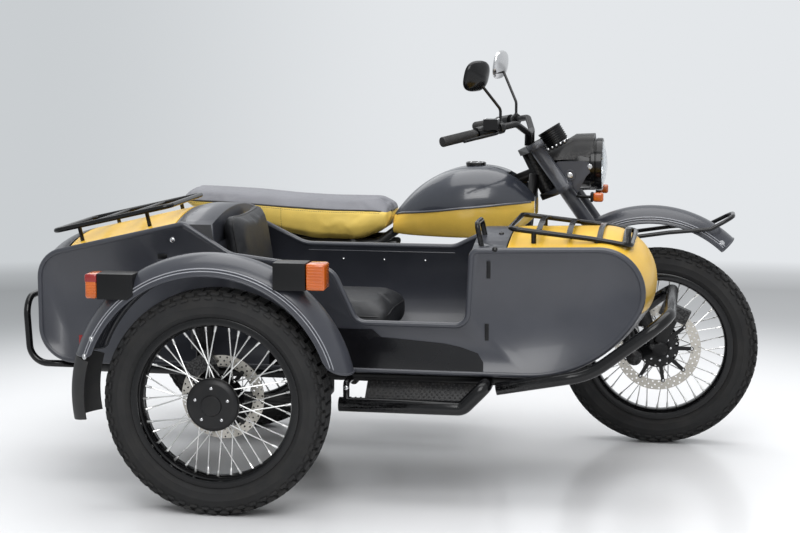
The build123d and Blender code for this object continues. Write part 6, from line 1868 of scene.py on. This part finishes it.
class Studio:
    """Pale floor, soft lights and a bright backdrop."""

    backdrop = srgb(202, 206, 209), srgb(228, 231, 234)

    @staticmethod
    def side(w: Wiring, heading: bpy.types.NodeSocket) -> bpy.types.NodeSocket:
        """How far to the right of the backdrop a heading looks."""
        parts = w.feed(w.node("ShaderNodeSeparateXYZ"), i0=heading)
        return w.ramp(parts.outputs[0], -0.37, -0.14)

    @staticmethod
    def seen(w: Wiring) -> bpy.types.NodeSocket:
        """Whether a ray comes from the camera, from gloss or through glass."""
        rays = w.node("ShaderNodeLightPath").outputs
        return w.math("MAXIMUM", rays["Is Camera Ray"],
                      w.math("MAXIMUM", rays["Is Glossy Ray"], rays["Is Transmission Ray"]))

    @staticmethod
    def floor() -> None:
        """A wide pale disc below the tyres; far off it glows in the backdrop's colours, with painted light nearer and a
        band of painted shade further back.
        """
        material, w, shader, place = new_material("studio_floor")
        step = w.vector("SUBTRACT", place, tuple(at(*CAMERA_PLACE))).outputs[0]
        reach = w.vector("LENGTH", step).outputs["Value"]
        colour = w.blend(w.noise(place, 2.0, 3.0).outputs[0], srgb(226, 227, 229), srgb(232, 233, 235))
        w.feed(shader, Base_Color=colour, Roughness=0.2, Specular_IOR_Level=0.3)
        away = w.ramp(w.vector("LENGTH", place).outputs["Value"], 1.5, 3.3)
        # Tones of the far floor by distance from the camera's place: painted light nearer, painted shade in a darker
        # band at the backdrop's foot, then the backdrop's own level.
        painted_light_ramp = w.node("ShaderNodeValToRGB")
        rows = ((5.0, 1.12), (6.3, 1.06), (7.1, 1.0), (8.2, 0.88), (9.0, 0.80), (9.8, 0.76), (10.4, 0.86), (10.95, 1.0))
        ramp = painted_light_ramp.color_ramp
        for number, (far, _) in enumerate(rows):
            stop = ramp.elements[number] if number < 2 else ramp.elements.new(1.0)
            stop.position = far / 12.0
        for stop, (_, level) in zip(sorted(ramp.elements, key=lambda e: e.position), rows):
            linear = (level / 1.2) ** 2.2
            stop.color = (linear, linear, linear, 1.0)
        w.feed(painted_light_ramp, i0=w.math("DIVIDE", reach, 12.0))
        wall = w.blend(Studio.side(w, w.vector("NORMALIZE", step).outputs[0]), *Studio.backdrop)
        dimmed = w.vector("MULTIPLY", wall, painted_light_ramp.outputs[0])
        glow = w.feed(w.node("ShaderNodeEmission"), Strength=1.2 ** 2.2, Color=dimmed.outputs[0])
        seen = w.math("MULTIPLY", away, Studio.seen(w))
        mixed = w.feed(w.node("ShaderNodeMixShader"), i0=seen, i1=shader.outputs[0], i2=glow.outputs[0])
        w.feed(material.node_tree.nodes["Material Output"], Surface=mixed.outputs[0])
        mesh = bpy.data.meshes.new("floor")
        shape = bmesh.new()
        bmesh.ops.create_circle(shape, cap_ends=True, radius=70.0, segments=96,
                                matrix=Matrix.Translation((0.0, 0.0, CAD_BOUNDS[0][2] - 0.0006)))
        shape.to_mesh(mesh)
        shape.free()
        mesh.materials.append(material)
        linked("studio_floor", mesh)

    @staticmethod
    def light(name: str, place: Point, aim: Point, size: float, power: float) -> None:
        """One soft square light."""
        data = bpy.data.lights.new(name, "AREA")
        data.shape, data.size, data.energy = "SQUARE", size, power
        lamp = linked(name, data)
        lamp.location = place
        lamp.rotation_euler = (Vector(aim) - Vector(place)).to_track_quat("-Z", "Y").to_euler()

    def world(self) -> None:
        """Even light from all round, with a backdrop for the camera."""
        world = bpy.data.worlds.new("studio")
        bpy.context.scene.world = world
        world.use_nodes = True
        w = Wiring(world.node_tree)
        for old in list(world.node_tree.nodes):
            world.node_tree.nodes.remove(old)
        heading = w.node("ShaderNodeTexCoord").outputs["Generated"]
        wide = self.side(w, heading)
        backdrop = w.feed(w.node("ShaderNodeBackground"), Strength=1.0, Color=w.blend(wide, *Studio.backdrop))
        parts = w.feed(w.node("ShaderNodeSeparateXYZ"), i0=heading)
        above = w.ramp(parts.outputs[2], 0.15, 0.85, 0.0, 0.75)
        behind = w.ramp(parts.outputs[1], 0.1, 0.8, 0.0, 0.35)
        level = w.math("ADD", w.math("ADD", above, behind), 0.16)
        ambient = w.feed(w.node("ShaderNodeBackground"), Color=(1.0, 1.0, 1.0, 1.0), Strength=level)
        mixed = w.feed(w.node("ShaderNodeMixShader"), i0=self.seen(w), i1=ambient.outputs[0], i2=backdrop.outputs[0])
        w.feed(w.node("ShaderNodeOutputWorld"), Surface=mixed.outputs[0])

    def build(self) -> None:
        """Builds floor, lights, world and camera."""
        self.floor()
        self.light("key", (0.6, -4.2, 3.9), (0.1, -0.3, 0.6), 3.2, 150.0)
        self.light("top", (0.3, 0.5, 4.4), (0.2, 0.0, 0.5), 4.4, 135.0)
        self.light("rim", (-2.2, 3.4, 3.4), (0.2, 0.0, 0.6), 2.6, 22.0)
        self.world()
        data = bpy.data.cameras.new("camera")
        data.lens, data.sensor_width = 79.0, 36.0
        camera = linked("camera", data)
        camera.location = at(*CAMERA_PLACE)
        camera.rotation_euler = (math.radians(81.88), 0.0, math.radians(9.79))
        bpy.context.scene.camera = camera
        bpy.context.scene.view_settings.view_transform = "Standard"


def main() -> None:
    """Builds every sub-assembly in order."""
    logging.basicConfig(level=logging.INFO, format="%(levelname)s %(message)s")
    Wheel("front", at(WHEELBASE, 0.0, TYRE_RADIUS), 147.5, -1, disc_arms=9).build()
    Wheel("rear", at(0.0, 0.0, TYRE_RADIUS), 128.0, 1).build()
    Wheel("sidecar", at(WHEEL_LEAD, -TRACK, TYRE_RADIUS), 128.0, 1, cover_side=-1).build()
    Mudguard("front_mudguard", "front_fender", "steering", at(1440.0, 0.0, 422.0), 410.0, 53.0, 75.0, 47.0, 125.0,
             start_round=0.6, end_round=2.5, spots=((-0.76, 50.5), (0.76, 50.5))).build()
    Mudguard("rear_mudguard", "rear_fender", "chassis", at(0.0, 0.0, 342.0), 386.0, 46.0, 74.0, 62.0, 172.0,
             start_round=1.0, end_round=6.0).build()
    Mudguard("sidecar_mudguard", "sidecar_fender", "chassis", at(183.0, -1142.0, 352.0), 438.0, 60.0, 75.0, 12.0,
             163.0, start_round=9.0, end_round=4.0,
             spots=((-0.83, 127.0), (-0.83, 153.0), (-0.83, 161.5))).build()
    for assembly in (BenchSeat(), SidecarSeat(), Tank(), Headlamp(), Lamps(), Bars(), Chassis(), Sidecar(), Studio()):
        assembly.build()


if __name__ == "__main__":
    main()
